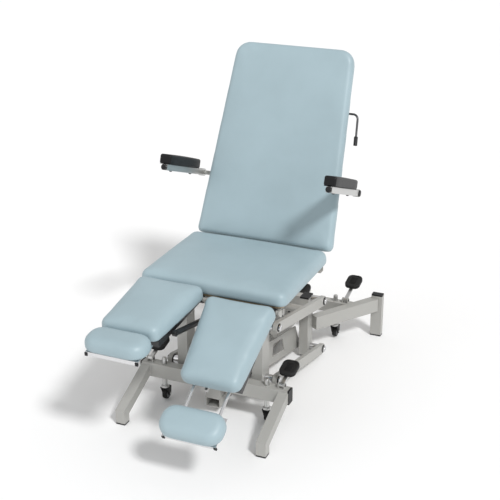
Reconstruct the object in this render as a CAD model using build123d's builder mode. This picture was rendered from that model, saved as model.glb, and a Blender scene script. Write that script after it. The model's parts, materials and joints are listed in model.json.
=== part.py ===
from build123d import *
import os
from math import sin, cos, radians

# Podiatry examination chair. Millimetres, +Z up, +Y to the back, +X to the patient's left.
# The origin is on the floor, in the middle of the chair's length and width.
# Lengths along Y are given behind the front feet, and at() turns them into the chair's frame.

os.makedirs("parts", exist_ok=True)

# ---- driving dimensions -------------------------------------------------------------------
FRONT_FEET_Y = -450.14         # front face of the front feet
TUBE_WALL = 3.0

# base
CROSSBAR_HALF = 318.0          # front crossbar, half its length without the caps
CROSSBAR_DEPTH = 40.0
CROSSBAR_HEIGHT = 60.0
CROSSBAR_TOP = 170.0
FRONT_CROSSBAR_Y = 224.0       # its front face
LEG_WIDTH = 40.0
LEG_OUTER_X = 320.0
FOOT_DEPTH = 38.0
FOOT_CAP = 6.0
REAR_CROSSBAR_Y = 1036.0       # front face
REAR_CROSSBAR_HEIGHT = 50.0
REAR_CROSSBAR_TOP = 186.0
SPINE_WIDTH = 60.0
SPINE_BOTTOM = 30.0
SPINE_TOP = 70.0
UPRIGHT_X = (140.0, 180.0)     # rear upright, inner and outer face
UPRIGHT_Y = (820.0, 880.0)
UPRIGHT_Z = (12.0, 282.0)
REAR_LEG_START = (190.0, 868.0)
REAR_LEG_END = (382.0, 1155.0)
REAR_LEG_WIDTH = 40.0
POST_X = (365.0, 415.0)
POST_Y = (1148.0, 1178.0)
POST_TOP = 198.0
CAP_THICKNESS = 7.0

# lift linkage: two arms of one length on pivots one above the other
ARM_LENGTH = 545.0
ARM_ANGLE = 12.0               # rise towards the front at rest
REAR_PIVOT = (858.0, 40.0)     # lower pivot
PIVOT_SPACING = 231.0
ARM_X = (222.0, 240.0)
ARM_HEIGHT = 44.0
PIN_RADIUS = 8.0
PIN_CLEARANCE = 0.08
BOSS_RADIUS = 16.0
WEB_X = (118.0, 124.0)
WEB_HEIGHT = 94.0
RAM_RADIUS = 198.0             # from the upper rear pivot to both ends of the ram
RAM_BASE_ANGLE = 70.0          # its base pivot, below the horizontal

# carriage
CARRIAGE_X = (142.0, 186.0)
CARRIAGE_Y = (289.0, 361.0)
CARRIAGE_Z = (128.0, 484.0)
SEAT_FRAME_Z = (484.0, 514.0)
SEAT_BOARD_TOP = 524.0
SEAT_TOP = 580.0
SEAT_HALF_WIDTH = 312.0
SEAT_Y = (205.0, 706.0)

# backrest
BACK_PIVOT = (775.0, 510.0)
BACK_ANGLE = 65.0              # above the horizontal at rest
BACK_LENGTH = (20.0, 872.0)    # cushion, from the pivot
BACK_HALF_WIDTH = (312.0, 268.0)
BACK_CUSHION = (25.0, 72.0)    # from the pivot's line to the front face
BACK_STRUT_RADIUS = 200.0
BACK_STRUT_ANGLE = 75.0        # its lower pivot, below the horizontal
BACK_STRUT_X = 80.0

# armrests
ARMREST_PIVOT_U = 287.0        # along the backrest
ARMREST_ANGLE = 20.0           # rise towards the front
ARMREST_X = 355.0
ARMREST_LENGTH = 375.0
ARMREST_PAD = (50.0, 300.0, 40.0)

# leg sections
LEG_PIVOT = (208.0, 506.0)
LEG_CENTRE_X = 151.0
LEG_TILT = {"left": 32.0, "right": 5.5}
LEG_CUSHION_WIDTH = (288.0, 238.0)
LEG_CUSHION_LENGTH = (10.0, 378.0)
LEG_CUSHION = (17.0, 75.0)
LEG_STRUT_RADIUS = 260.0
LEG_STRUT_ANGLE = 150.0
LEG_STRUT_X = 20.0
FOOT_REST_PULL = {"left": 90.0, "right": 0.0}
FOOT_ROD_OFFSET = 70.0
FOOT_CUSHION = (250.0, 126.0, 54.0)

# castors and their pedals
CASTOR_X = 225.0
STEM_RADIUS = 10.0
WHEEL_RADIUS = 25.0
WHEEL_TRAIL = 12.0
WHEEL_GAP = 4.0                # wheel above the floor while the chair stands on its feet

SIDES = {"left": 1, "right": -1}   # the patient's left is +X


# ---- helpers ------------------------------------------------------------------------------
def at(y):
    """Turn a length behind the front feet into the frame's Y."""
    return FRONT_FEET_Y + y


def save(part, name):
    """Label one node and write it."""
    part.label = name
    export_step(part, f"parts/{name}.step")


def save_group(solids, name):
    """Write several solids as one node."""
    save(Compound(children=[s.solid() for s in solids]), name)


def box(x, y, z):
    """A plain block between pairs of limits, with Y behind the front feet."""
    with BuildPart() as block:
        with BuildSketch(Plane.XY.offset(min(z))):
            with Locations((sum(x) / 2, at(sum(y) / 2))):
                Rectangle(abs(x[1] - x[0]), abs(y[1] - y[0]))
        extrude(amount=abs(z[1] - z[0]))
    return block.part


def tube_x(x, y, z, wall=TUBE_WALL):
    """A rectangular tube along X, open at both ends."""
    with BuildPart() as tube:
        with BuildSketch(Plane.YZ.offset(min(x))):
            with Locations((at(sum(y) / 2), sum(z) / 2)):
                Rectangle(y[1] - y[0], z[1] - z[0])
                Rectangle(y[1] - y[0] - 2 * wall, z[1] - z[0] - 2 * wall, mode=Mode.SUBTRACT)
        extrude(amount=abs(x[1] - x[0]))
    return tube.part


def tube_y(x, y, z, wall=TUBE_WALL):
    """A rectangular tube along Y, open at both ends."""
    with BuildPart() as tube:
        with BuildSketch(Plane.XZ.offset(-at(y[1]))):
            with Locations((sum(x) / 2, sum(z) / 2)):
                Rectangle(abs(x[1] - x[0]), z[1] - z[0])
                Rectangle(abs(x[1] - x[0]) - 2 * wall, z[1] - z[0] - 2 * wall, mode=Mode.SUBTRACT)
        extrude(amount=y[1] - y[0])
    return tube.part


def rod_x(x, y, z, radius, bore=0.0):
    """A round bar along X, or a ring when it has a bore."""
    with BuildPart() as rod:
        with BuildSketch(Plane.YZ.offset(min(x))):
            with Locations((at(y), z)):
                Circle(radius)
                if bore:
                    Circle(bore, mode=Mode.SUBTRACT)
        extrude(amount=abs(x[1] - x[0]))
    return rod.part


def plate_x(x, points, thickness_holes=()):
    """A flat plate across X, its outline and round holes in the side view."""
    with BuildPart() as plate:
        with BuildSketch(Plane.YZ.offset(min(x))):
            with BuildLine():
                Polyline([(at(y), z) for y, z in points], close=True)
            make_face()
            for y, z, radius in thickness_holes:
                with Locations((at(y), z)):
                    Circle(radius, mode=Mode.SUBTRACT)
        extrude(amount=abs(x[1] - x[0]))
    return plate.part


def link_x(x, start, end, height, bore):
    """A flat bar with round ends and a bore at each end, seen from the side."""
    length = ((end[0] - start[0]) ** 2 + (end[1] - start[1]) ** 2) ** 0.5
    along = ((end[0] - start[0]) / length, (end[1] - start[1]) / length)
    plane = Plane(origin=(min(x), at(start[0]), start[1]), x_dir=(0, *along), z_dir=(1, 0, 0))
    with BuildPart() as link:
        with BuildSketch(plane):
            with Locations((length / 2, 0)):
                SlotCenterToCenter(length, height)
            with Locations((0, 0), (length, 0)):
                Circle(bore, mode=Mode.SUBTRACT)
        extrude(amount=abs(x[1] - x[0]))
    return link.part


def turned(origin, angle, distance):
    """A point at a distance and an angle above the backward horizontal, in the side view."""
    return (origin[0] + distance * cos(radians(angle)), origin[1] + distance * sin(radians(angle)))


# ---- base frame ---------------------------------------------------------------------------
crossbar_y = (FRONT_CROSSBAR_Y, FRONT_CROSSBAR_Y + CROSSBAR_DEPTH)
crossbar_z = (CROSSBAR_TOP - CROSSBAR_HEIGHT, CROSSBAR_TOP)
rear_bar_y = (REAR_CROSSBAR_Y, REAR_CROSSBAR_Y + CROSSBAR_DEPTH)
rear_bar_z = (REAR_CROSSBAR_TOP - REAR_CROSSBAR_HEIGHT, REAR_CROSSBAR_TOP)

# name: side of the chair, Y of the castor's stem, X of the pedal, top of its crossbar
CORNERS = {
    "front_left": (1, sum(crossbar_y) / 2, 287.0, CROSSBAR_TOP),
    "front_right": (-1, sum(crossbar_y) / 2, 287.0, CROSSBAR_TOP),
    "rear_left": (1, sum(rear_bar_y) / 2, 272.0, REAR_CROSSBAR_TOP),
    "rear_right": (-1, sum(rear_bar_y) / 2, 272.0, REAR_CROSSBAR_TOP),
}
PEDAL_PIVOT_RISE = 13.0
PEDAL_PIN_RADIUS = 4.0
EAR_GAP = 10.0                 # half the space between a pedal's two ears
EAR_THICKNESS = 4.0


def pedal_ears(x, y, top):
    """Two ears and a pin on a crossbar, which carry one pedal."""
    with BuildPart() as ears:
        for ear in (x - EAR_GAP - EAR_THICKNESS, x + EAR_GAP):
            with BuildSketch(Plane.YZ.offset(ear)):
                with Locations((at(y), top + PEDAL_PIVOT_RISE / 2)):
                    Rectangle(20, PEDAL_PIVOT_RISE)
                with Locations((at(y), top + PEDAL_PIVOT_RISE)):
                    Circle(10)
            extrude(amount=EAR_THICKNESS)
        with BuildSketch(Plane.YZ.offset(x - EAR_GAP)):
            with Locations((at(y), top + PEDAL_PIVOT_RISE)):
                Circle(PEDAL_PIN_RADIUS)
        extrude(amount=2 * EAR_GAP)
    return ears.part


def stem_bores(y, top, depth):
    """The two bores that a crossbar needs for its castor stems."""
    with BuildPart() as bores:
        with BuildSketch(Plane.XY.offset(top + 1)):
            with Locations((CASTOR_X, at(y)), (-CASTOR_X, at(y))):
                Circle(STEM_RADIUS + PIN_CLEARANCE)
        extrude(amount=-depth)
    return bores.part


with BuildPart() as front_crossbar:
    add(tube_x((-CROSSBAR_HALF, CROSSBAR_HALF), crossbar_y, crossbar_z))
    add(stem_bores(sum(crossbar_y) / 2, CROSSBAR_TOP, CROSSBAR_HEIGHT + 2), mode=Mode.SUBTRACT)
    for corner_name in ("front_left", "front_right"):
        side, stem_y, pedal_x, top = CORNERS[corner_name]
        add(pedal_ears(side * pedal_x, stem_y, top))
save(front_crossbar.part, "front_crossbar")

# front legs slope down from the crossbar's face and end in upright feet
LEG_SECTION = 44.0             # height of the sloping tube, measured upright
FOOT_TOP = 62.0
LEG_TOP_AT_BAR = 160.0
leg_outline = [
    (0, FOOT_CAP), (FOOT_DEPTH, FOOT_CAP), (FOOT_DEPTH, 36.0),
    (FRONT_CROSSBAR_Y, LEG_TOP_AT_BAR - LEG_SECTION), (FRONT_CROSSBAR_Y, LEG_TOP_AT_BAR), (0, FOOT_TOP),
]
front_legs = []
for side in SIDES.values():
    x_inner = LEG_OUTER_X - LEG_WIDTH
    with BuildPart() as leg:
        with BuildSketch(Plane.YZ.offset(min(side * x_inner, side * LEG_OUTER_X))):
            with BuildLine():
                Polyline([(at(y), z) for y, z in leg_outline], close=True)
            make_face()
        extrude(amount=LEG_WIDTH)
        with BuildSketch(Plane.YZ.offset(min(side * x_inner, side * LEG_OUTER_X) + TUBE_WALL)):
            with BuildLine():
                Polyline([(at(y), z) for y, z in leg_outline], close=True)
            make_face()
            offset(amount=-TUBE_WALL, kind=Kind.INTERSECTION)
            with Locations((at(FOOT_DEPTH / 2), FOOT_CAP + TUBE_WALL)):
                Rectangle(FOOT_DEPTH - 2 * TUBE_WALL, 4 * TUBE_WALL)
        extrude(amount=LEG_WIDTH - 2 * TUBE_WALL, mode=Mode.SUBTRACT)
    front_legs.append(leg.part)
save_group(front_legs, "front_legs")

# the low spine joins both crossbars under the mechanism
RAM_HUB = 14.0
UPPER_REAR_PIVOT = (REAR_PIVOT[0], REAR_PIVOT[1] + PIVOT_SPACING)
ram_foot = turned(UPPER_REAR_PIVOT, 180 + RAM_BASE_ANGLE, RAM_RADIUS)
RAM_LUG_X = (16.0, 24.0)
spine = [
    tube_y((-SPINE_WIDTH / 2, SPINE_WIDTH / 2), (crossbar_y[0], rear_bar_y[1]), (SPINE_BOTTOM, SPINE_TOP)),
    box((-SPINE_WIDTH / 2, SPINE_WIDTH / 2), crossbar_y, (SPINE_TOP, crossbar_z[0])),
    box((-SPINE_WIDTH / 2, SPINE_WIDTH / 2), rear_bar_y, (SPINE_TOP, rear_bar_z[0])),
]
for side in SIDES.values():
    lug_x = (side * RAM_LUG_X[0], side * RAM_LUG_X[1])
    lug = [(ram_foot[0] - 20, SPINE_TOP), (ram_foot[0] + 20, SPINE_TOP),
           (ram_foot[0] + 10, ram_foot[1] + 10), (ram_foot[0] - 10, ram_foot[1] + 10)]
    spine.append(plate_x(lug_x, lug, [(*ram_foot, PIN_RADIUS)]))
spine.append(rod_x((-RAM_LUG_X[1], RAM_LUG_X[1]), *ram_foot, PIN_RADIUS))
save_group(spine, "spine_rail")

# rear crossbar, its ends cut to the slant of the rear legs
leg_run = (REAR_LEG_END[0] - REAR_LEG_START[0], REAR_LEG_END[1] - REAR_LEG_START[1])
leg_length = (leg_run[0] ** 2 + leg_run[1] ** 2) ** 0.5
leg_dir = (leg_run[0] / leg_length, leg_run[1] / leg_length)
leg_out = (leg_dir[1] * REAR_LEG_WIDTH / 2, -leg_dir[0] * REAR_LEG_WIDTH / 2)


def inner_edge_x(y):
    """X of the rear leg's inner face at a given Y."""
    start = (REAR_LEG_START[0] - leg_out[0], REAR_LEG_START[1] - leg_out[1])
    return start[0] + (y - start[1]) * leg_dir[0] / leg_dir[1]


with BuildPart() as rear_crossbar:
    with BuildSketch(Plane.XY.offset(rear_bar_z[0])):
        with BuildLine():
            front_x, back_x = (inner_edge_x(y) for y in rear_bar_y)
            front_y, back_y = (at(y) for y in rear_bar_y)
            Polyline([(-front_x, front_y), (front_x, front_y), (back_x, back_y), (-back_x, back_y)],
                     close=True)
        make_face()
    extrude(amount=REAR_CROSSBAR_HEIGHT)
    with BuildSketch(Plane.XY.offset(rear_bar_z[0] + TUBE_WALL)):
        with Locations((0, at(sum(rear_bar_y) / 2))):
            Rectangle(2 * (front_x - TUBE_WALL), CROSSBAR_DEPTH - 2 * TUBE_WALL)
    extrude(amount=REAR_CROSSBAR_HEIGHT - 2 * TUBE_WALL, mode=Mode.SUBTRACT)
    add(stem_bores(sum(rear_bar_y) / 2, REAR_CROSSBAR_TOP, REAR_CROSSBAR_HEIGHT + 2), mode=Mode.SUBTRACT)
    for corner_name in ("rear_left", "rear_right"):
        side, stem_y, pedal_x, top = CORNERS[corner_name]
        add(pedal_ears(side * pedal_x, stem_y, top))
save(rear_crossbar.part, "rear_crossbar")

# rear uprights carry the fixed pivots of both arms
rear_uprights = []
upright_size = (UPRIGHT_X[1] - UPRIGHT_X[0], UPRIGHT_Y[1] - UPRIGHT_Y[0])
for side in SIDES.values():
    with BuildPart() as upright:
        with BuildSketch(Plane.XY.offset(UPRIGHT_Z[0])):
            with Locations((side * sum(UPRIGHT_X) / 2, at(sum(UPRIGHT_Y) / 2))):
                Rectangle(*upright_size)
                Rectangle(*(width - 2 * TUBE_WALL for width in upright_size), mode=Mode.SUBTRACT)
        extrude(amount=UPRIGHT_Z[1] - UPRIGHT_Z[0])
        with BuildSketch(Plane.YZ.offset(min(side * UPRIGHT_X[0], side * UPRIGHT_X[1]))):
            with Locations([(at(y), z) for y, z in (REAR_PIVOT, UPPER_REAR_PIVOT)]):
                Circle(PIN_RADIUS + PIN_CLEARANCE)
        extrude(amount=UPRIGHT_X[1] - UPRIGHT_X[0], mode=Mode.SUBTRACT)
    rear_uprights.append(upright.part)
save_group(rear_uprights, "rear_uprights")

# splayed rear legs run out from the uprights to the rear posts
rear_legs = []
post_size = (POST_X[1] - POST_X[0], POST_Y[1] - POST_Y[0])
for side in SIDES.values():
    leg_plane = Plane(origin=(side * REAR_LEG_START[0], at(REAR_LEG_START[1]), rear_bar_z[0] - 10),
                      x_dir=(side * leg_dir[0], leg_dir[1], 0), z_dir=(0, 0, 1))
    post_centre = (side * sum(POST_X) / 2, at(sum(POST_Y) / 2))
    with BuildPart() as leg:
        with BuildSketch(leg_plane):
            with Locations((leg_length / 2, 0)):
                Rectangle(leg_length, REAR_LEG_WIDTH)
        extrude(amount=CROSSBAR_HEIGHT)
        with BuildSketch(Plane.XY.offset(FOOT_CAP)):
            with Locations(post_centre):
                Rectangle(*post_size)
        extrude(amount=POST_TOP - FOOT_CAP)
        add(box((side * (UPRIGHT_X[0] - 20), side * UPRIGHT_X[1]), UPRIGHT_Y, (0, UPRIGHT_Z[1])),
            mode=Mode.SUBTRACT)
        with BuildSketch(leg_plane.offset(TUBE_WALL)):
            with Locations((leg_length / 2 + 10, 0)):
                Rectangle(leg_length - 30, REAR_LEG_WIDTH - 2 * TUBE_WALL)
        extrude(amount=CROSSBAR_HEIGHT - 2 * TUBE_WALL, mode=Mode.SUBTRACT)
        with BuildSketch(Plane.XY.offset(FOOT_CAP)):
            with Locations(post_centre):
                Rectangle(post_size[0] - 2 * TUBE_WALL, post_size[1] - 2 * TUBE_WALL)
        extrude(amount=POST_TOP - FOOT_CAP, mode=Mode.SUBTRACT)
    rear_legs.append(leg.part)
save_group(rear_legs, "rear_legs")


def cap(centre, size, start, direction, plug=10.0, thickness=CAP_THICKNESS):
    """A plastic cap with a plug: its face plate starts at `start` along the direction, away from the tube."""
    plane = Plane(origin=start, x_dir=centre, z_dir=direction)
    with BuildPart() as piece:
        with BuildSketch(plane):
            RectangleRounded(*size, 2)
        extrude(amount=thickness)
        with BuildSketch(plane):
            Rectangle(size[0] - 2 * TUBE_WALL - 1, size[1] - 2 * TUBE_WALL - 1)
        extrude(amount=-plug)
    return piece.part


plastic_caps = []
for side in SIDES.values():
    upright_centre = (side * sum(UPRIGHT_X) / 2, at(sum(UPRIGHT_Y) / 2), UPRIGHT_Z[1])
    post_x, post_y = side * sum(POST_X) / 2, at(sum(POST_Y) / 2)
    foot_centre = (side * (LEG_OUTER_X - LEG_WIDTH / 2), at(FOOT_DEPTH / 2), FOOT_CAP)
    plastic_caps += [
        cap((0, 1, 0), (CROSSBAR_DEPTH, CROSSBAR_HEIGHT),
            (side * CROSSBAR_HALF, at(sum(crossbar_y) / 2), sum(crossbar_z) / 2), (side, 0, 0)),
        cap((1, 0, 0), upright_size, upright_centre, (0, 0, 1), plug=2),
        cap((1, 0, 0), post_size, (post_x, post_y, POST_TOP), (0, 0, 1)),
        cap((1, 0, 0), post_size, (post_x, post_y, FOOT_CAP), (0, 0, -1), thickness=FOOT_CAP),
        cap((1, 0, 0), (LEG_WIDTH, FOOT_DEPTH), foot_centre, (0, 0, -1), thickness=FOOT_CAP),
    ]
save_group(plastic_caps, "plastic_caps")

# hydraulic pump on the spine, with its foot pedal behind the rear crossbar
PUMP_Y = (925.0, 1005.0)
PUMP_PIVOT = (965.0, 104.0)
PUMP_PEDAL_X = (36.0, 50.0)
PUMP_PAD_X = (-20.0, 50.0)
PUMP_PAD_RISE = 20.0           # degrees
with BuildPart() as pump_block:
    add(box((-32, 32), PUMP_Y, (SPINE_TOP, 118)))
    with BuildSketch(Plane.XY.offset(118)):
        with Locations((0, at(950))):
            Circle(22)
    extrude(amount=40)
    fillet(pump_block.edges().group_by(Axis.Z)[-1], 4)
    with BuildSketch(Plane.YZ.offset(32)):
        with Locations((at(PUMP_PIVOT[0]), PUMP_PIVOT[1])):
            Circle(PIN_RADIUS)
    extrude(amount=20)
save(pump_block.part, "pump_block")

with BuildPart() as pump_pedal:
    with BuildSketch(Plane.YZ.offset(PUMP_PEDAL_X[0])):
        with Locations((at(PUMP_PIVOT[0]), PUMP_PIVOT[1])):
            Circle(14)
        with BuildLine():
            Polyline([(at(y), z) for y, z in (
                (965, 94), (1100, 94), (1215, 136), (1215, 148), (1095, 108), (965, 112))], close=True)
        make_face()
        with Locations((at(PUMP_PIVOT[0]), PUMP_PIVOT[1])):
            Circle(PIN_RADIUS + PIN_CLEARANCE, mode=Mode.SUBTRACT)
    extrude(amount=PUMP_PEDAL_X[1] - PUMP_PEDAL_X[0])
    pad_rise = radians(PUMP_PAD_RISE)
    pump_pad = Plane(origin=(sum(PUMP_PAD_X) / 2, at(1200), 142), x_dir=(0, cos(pad_rise), sin(pad_rise)),
                     z_dir=(0, -sin(pad_rise), cos(pad_rise)))
    with BuildSketch(pump_pad):
        RectangleRounded(62, PUMP_PAD_X[1] - PUMP_PAD_X[0], 14)
    extrude(amount=18)
save(pump_pedal.part, "pump_pedal")

# ---- castors and castor pedals -------------------------------------------------------------
PEDAL_RISE = 14.0              # degrees, pad above the horizontal
PEDAL_PAD = (84.0, 68.0, 20.0)
PEDAL_REACH = {"front": 86.0, "rear": 120.0}
YOKE_TOP = 62.0
KINGPIN_RADIUS = 4.0


def wheel_centre(stem_y):
    """Side-view place of a castor's wheel, which trails behind its stem."""
    return (stem_y + WHEEL_TRAIL, WHEEL_GAP + WHEEL_RADIUS)


for corner_name, (side, stem_y, pedal_x, top) in CORNERS.items():
    stem_x = side * CASTOR_X
    axle_y, axle_z = wheel_centre(stem_y)
    reach = PEDAL_REACH[corner_name.split("_")[0]]

    with BuildPart() as pedal:
        pivot = (side * pedal_x, at(stem_y), top + PEDAL_PIVOT_RISE)
        arm_dir = (0, cos(radians(PEDAL_RISE)), sin(radians(PEDAL_RISE)))
        pad_plane = Plane(origin=pivot, x_dir=arm_dir, z_dir=(0, -arm_dir[2], arm_dir[1]))
        with BuildSketch(pad_plane.offset(-4)):
            with Locations((reach / 2, 0)):
                Rectangle(reach, 16)
        extrude(amount=8)
        with BuildSketch(Plane.YZ.offset(side * pedal_x - 9)):
            with Locations((at(stem_y), top + PEDAL_PIVOT_RISE)):
                Circle(9)
        extrude(amount=18)
        with BuildSketch(pad_plane.offset(3)):
            with Locations((reach, 0)):
                RectangleRounded(PEDAL_PAD[0], PEDAL_PAD[1], 24)
        extrude(amount=PEDAL_PAD[2])
        with BuildSketch(Plane.YZ.offset(side * pedal_x - 9)):
            with Locations((at(stem_y), top + PEDAL_PIVOT_RISE)):
                Circle(PEDAL_PIN_RADIUS + PIN_CLEARANCE)
        extrude(amount=18, mode=Mode.SUBTRACT)
    save(pedal.part, f"pedal_{corner_name}")

    with BuildPart() as stem:
        with BuildSketch(Plane.XY.offset(YOKE_TOP + 0.4)):
            with Locations((stem_x, at(stem_y))):
                Circle(STEM_RADIUS)
        extrude(amount=top + 24 - YOKE_TOP)
        with BuildSketch(Plane.XY.offset(YOKE_TOP + 0.4)):
            with Locations((stem_x, at(stem_y))):
                Circle(STEM_RADIUS + 3)
        extrude(amount=10)
        with BuildSketch(Plane.XY.offset(YOKE_TOP + 20)):
            with Locations((stem_x, at(stem_y))):
                Circle(KINGPIN_RADIUS + PIN_CLEARANCE)
        extrude(amount=-20, mode=Mode.SUBTRACT)
    save(stem.part, f"castor_stem_{corner_name}")

    with BuildPart() as yoke:
        with BuildSketch(Plane.XY.offset(YOKE_TOP - 5)):
            with Locations((stem_x, at(stem_y + WHEEL_TRAIL / 2))):
                Rectangle(34, 34)
        extrude(amount=5)
        for cheek_x in (stem_x - 17, stem_x + 12):
            with BuildSketch(Plane.YZ.offset(cheek_x)):
                with BuildLine():
                    Polyline([(at(stem_y - 11), YOKE_TOP), (at(stem_y + 23), YOKE_TOP),
                              (at(axle_y + 8), axle_z), (at(axle_y - 8), axle_z)], close=True)
                make_face()
                with Locations((at(axle_y), axle_z)):
                    Circle(8)
            extrude(amount=5)
        with BuildSketch(Plane.YZ.offset(stem_x - 17)):
            with Locations((at(axle_y), axle_z)):
                Circle(KINGPIN_RADIUS)
        extrude(amount=34)
        with BuildSketch(Plane.XY.offset(YOKE_TOP)):
            with Locations((stem_x, at(stem_y))):
                Circle(KINGPIN_RADIUS)
        extrude(amount=18)
    save(yoke.part, f"castor_yoke_{corner_name}")

    with BuildPart() as wheel:
        with BuildSketch(Plane.YZ.offset(stem_x - 10)):
            with Locations((at(axle_y), axle_z)):
                Circle(WHEEL_RADIUS)
                Circle(KINGPIN_RADIUS + PIN_CLEARANCE, mode=Mode.SUBTRACT)
        extrude(amount=20)
        fillet(wheel.edges().filter_by(GeomType.CIRCLE).group_by(SortBy.RADIUS)[-1], 5)
    save(wheel.part, f"castor_wheel_{corner_name}")

# ---- lift arms ----------------------------------------------------------------------------
LOWER_FRONT = turned(REAR_PIVOT, 180 - ARM_ANGLE, ARM_LENGTH)
UPPER_FRONT = (LOWER_FRONT[0], LOWER_FRONT[1] + PIVOT_SPACING)
arm_along = (-cos(radians(ARM_ANGLE)), sin(radians(ARM_ANGLE)))
arm_up = (sin(radians(ARM_ANGLE)), cos(radians(ARM_ANGLE)))


def on_arm(pivot, along, up):
    """A side-view point given along an arm from its rear pivot, and above it."""
    return tuple(start + along * ahead + up * rise for start, ahead, rise in zip(pivot, arm_along, arm_up))


PIN_FIT = PIN_RADIUS           # pins are pressed into the arms
web_outline = [on_arm(REAR_PIVOT, s, h) for s, h in (
    (-16, -16), (ARM_LENGTH + 16, -16), (ARM_LENGTH + 16, 16), (ARM_LENGTH - 62, 24),
    (ARM_LENGTH - 70, WEB_HEIGHT), (60, WEB_HEIGHT), (20, 40), (-16, 16))]
window_outline = [on_arm(REAR_PIVOT, s, h) for s, h in ((320, 18), (180, 18), (214, 74), (320, 74))]
LOWER_TUBE = on_arm(REAR_PIVOT, 440, 76)
lower_arm = []
for side in SIDES.values():
    lower_arm.append(link_x((side * ARM_X[0], side * ARM_X[1]), REAR_PIVOT, LOWER_FRONT, ARM_HEIGHT, PIN_FIT))
    with BuildPart() as web:
        add(plate_x((side * WEB_X[0], side * WEB_X[1]), web_outline,
                    [(*REAR_PIVOT, PIN_FIT), (*LOWER_FRONT, PIN_FIT)]))
        add(plate_x((side * WEB_X[0], side * WEB_X[1]), window_outline), mode=Mode.SUBTRACT)
    lower_arm.append(web.part)
lower_arm.append(rod_x((-WEB_X[0], WEB_X[0]), *LOWER_TUBE, 12, bore=9))
save_group(lower_arm, "lower_arm_frame")

UPPER_TUBE = on_arm(UPPER_REAR_PIVOT, RAM_RADIUS, 0)
upper_arm = [rod_x((-ARM_X[0], ARM_X[0]), *UPPER_TUBE, 14)]
for side in SIDES.values():
    upper_x = (side * ARM_X[0], side * ARM_X[1])
    upper_arm.append(link_x(upper_x, UPPER_REAR_PIVOT, UPPER_FRONT, ARM_HEIGHT, PIN_FIT))
save_group(upper_arm, "upper_arm_frame")


def pivot_pin(side, inner_x, upright_faces, y, z):
    """One pivot pin: a shaft, a spacer boss outside the upright, and an end cap outside the arm."""
    with BuildPart() as pin:
        add(rod_x((side * inner_x, side * ARM_X[1]), y, z, PIN_RADIUS))
        add(rod_x((side * (upright_faces[1] + 0.5), side * ARM_X[0]), y, z, BOSS_RADIUS))
        add(rod_x((side * ARM_X[1], side * (ARM_X[1] + 7)), y, z, BOSS_RADIUS - 3))
    return pin.part


lower_pins, upper_pins = [], []
for side in SIDES.values():
    lower_pins.append(pivot_pin(side, WEB_X[0], UPRIGHT_X, *REAR_PIVOT))
    lower_pins.append(pivot_pin(side, WEB_X[0], CARRIAGE_X, *LOWER_FRONT))
    upper_pins.append(pivot_pin(side, UPRIGHT_X[0] - 4, UPRIGHT_X, *UPPER_REAR_PIVOT))
    upper_pins.append(pivot_pin(side, CARRIAGE_X[0] - 4, CARRIAGE_X, *UPPER_FRONT))
save_group(lower_pins, "lower_arm_pins")
save_group(upper_pins, "upper_arm_pins")

# ---- struts: a cylinder and a rod on one line, with an eye at each end ----------------------


def strut(x, eye, far, start, end, radius, eye_radius, eye_bore, thickness, bore=0.0, bore_from=0.0):
    """A round bar that leaves an eye at one pivot and runs towards the other.

    start and end are distances from the eye; a bore opens the far end for the rod.
    """
    length = ((far[0] - eye[0]) ** 2 + (far[1] - eye[1]) ** 2) ** 0.5
    along = (0, (far[0] - eye[0]) / length, (far[1] - eye[1]) / length)
    axis = Plane(origin=(x, at(eye[0]), eye[1]), x_dir=(1, 0, 0), z_dir=along)
    with BuildPart() as piece:
        with BuildSketch(Plane.YZ.offset(x - thickness / 2)):
            with Locations((at(eye[0]), eye[1])):
                Circle(eye_radius)
        extrude(amount=thickness)
        with BuildSketch(axis.offset(start)):
            Circle(radius)
        extrude(amount=end - start)
        if bore:
            with BuildSketch(axis.offset(bore_from)):
                Circle(bore)
            extrude(amount=end - bore_from, mode=Mode.SUBTRACT)
        with BuildSketch(Plane.YZ.offset(x - thickness / 2)):
            with Locations((at(eye[0]), eye[1])):
                Circle(eye_bore)
        extrude(amount=thickness, mode=Mode.SUBTRACT)
    return piece.part


RAM_BARREL = (34.0, 186.0)
with BuildPart() as ram_cylinder:
    add(strut(0, ram_foot, UPPER_TUBE, 8, RAM_BARREL[0], 12, RAM_HUB, PIN_RADIUS + PIN_CLEARANCE, 30))
    ram_axis = Vector(0, UPPER_TUBE[0] - ram_foot[0], UPPER_TUBE[1] - ram_foot[1]).normalized()
    ram_plane = Plane(origin=(0, at(ram_foot[0]), ram_foot[1]), x_dir=(1, 0, 0), z_dir=ram_axis)
    with BuildSketch(ram_plane.offset(RAM_BARREL[0])):
        Circle(22)
    extrude(amount=RAM_BARREL[1] - RAM_BARREL[0])
    with BuildSketch(ram_plane.offset(RAM_BARREL[0] + 4)):
        Circle(11)
    extrude(amount=RAM_BARREL[1] - RAM_BARREL[0], mode=Mode.SUBTRACT)
save(ram_cylinder.part, "ram_cylinder")
save(strut(0, UPPER_TUBE, ram_foot, 16, 187, 10.5, 22, 14 + PIN_CLEARANCE, 30), "ram_rod")

# ---- carriage: uprights, seat frame and everything that rises with the seat ----------------
SEAT_RAIL_X = (145.0, 183.0)
FRONT_TUBE_Y = (225.0, 255.0)
MIDDLE_TUBE_Y = (418.0, 448.0)
REAR_TUBE_Y = (672.0, 702.0)
SEAT_FRAME_HALF = 285.0
LEG_SHAFT_RADIUS = 9.0
LUG = 6.0

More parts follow.
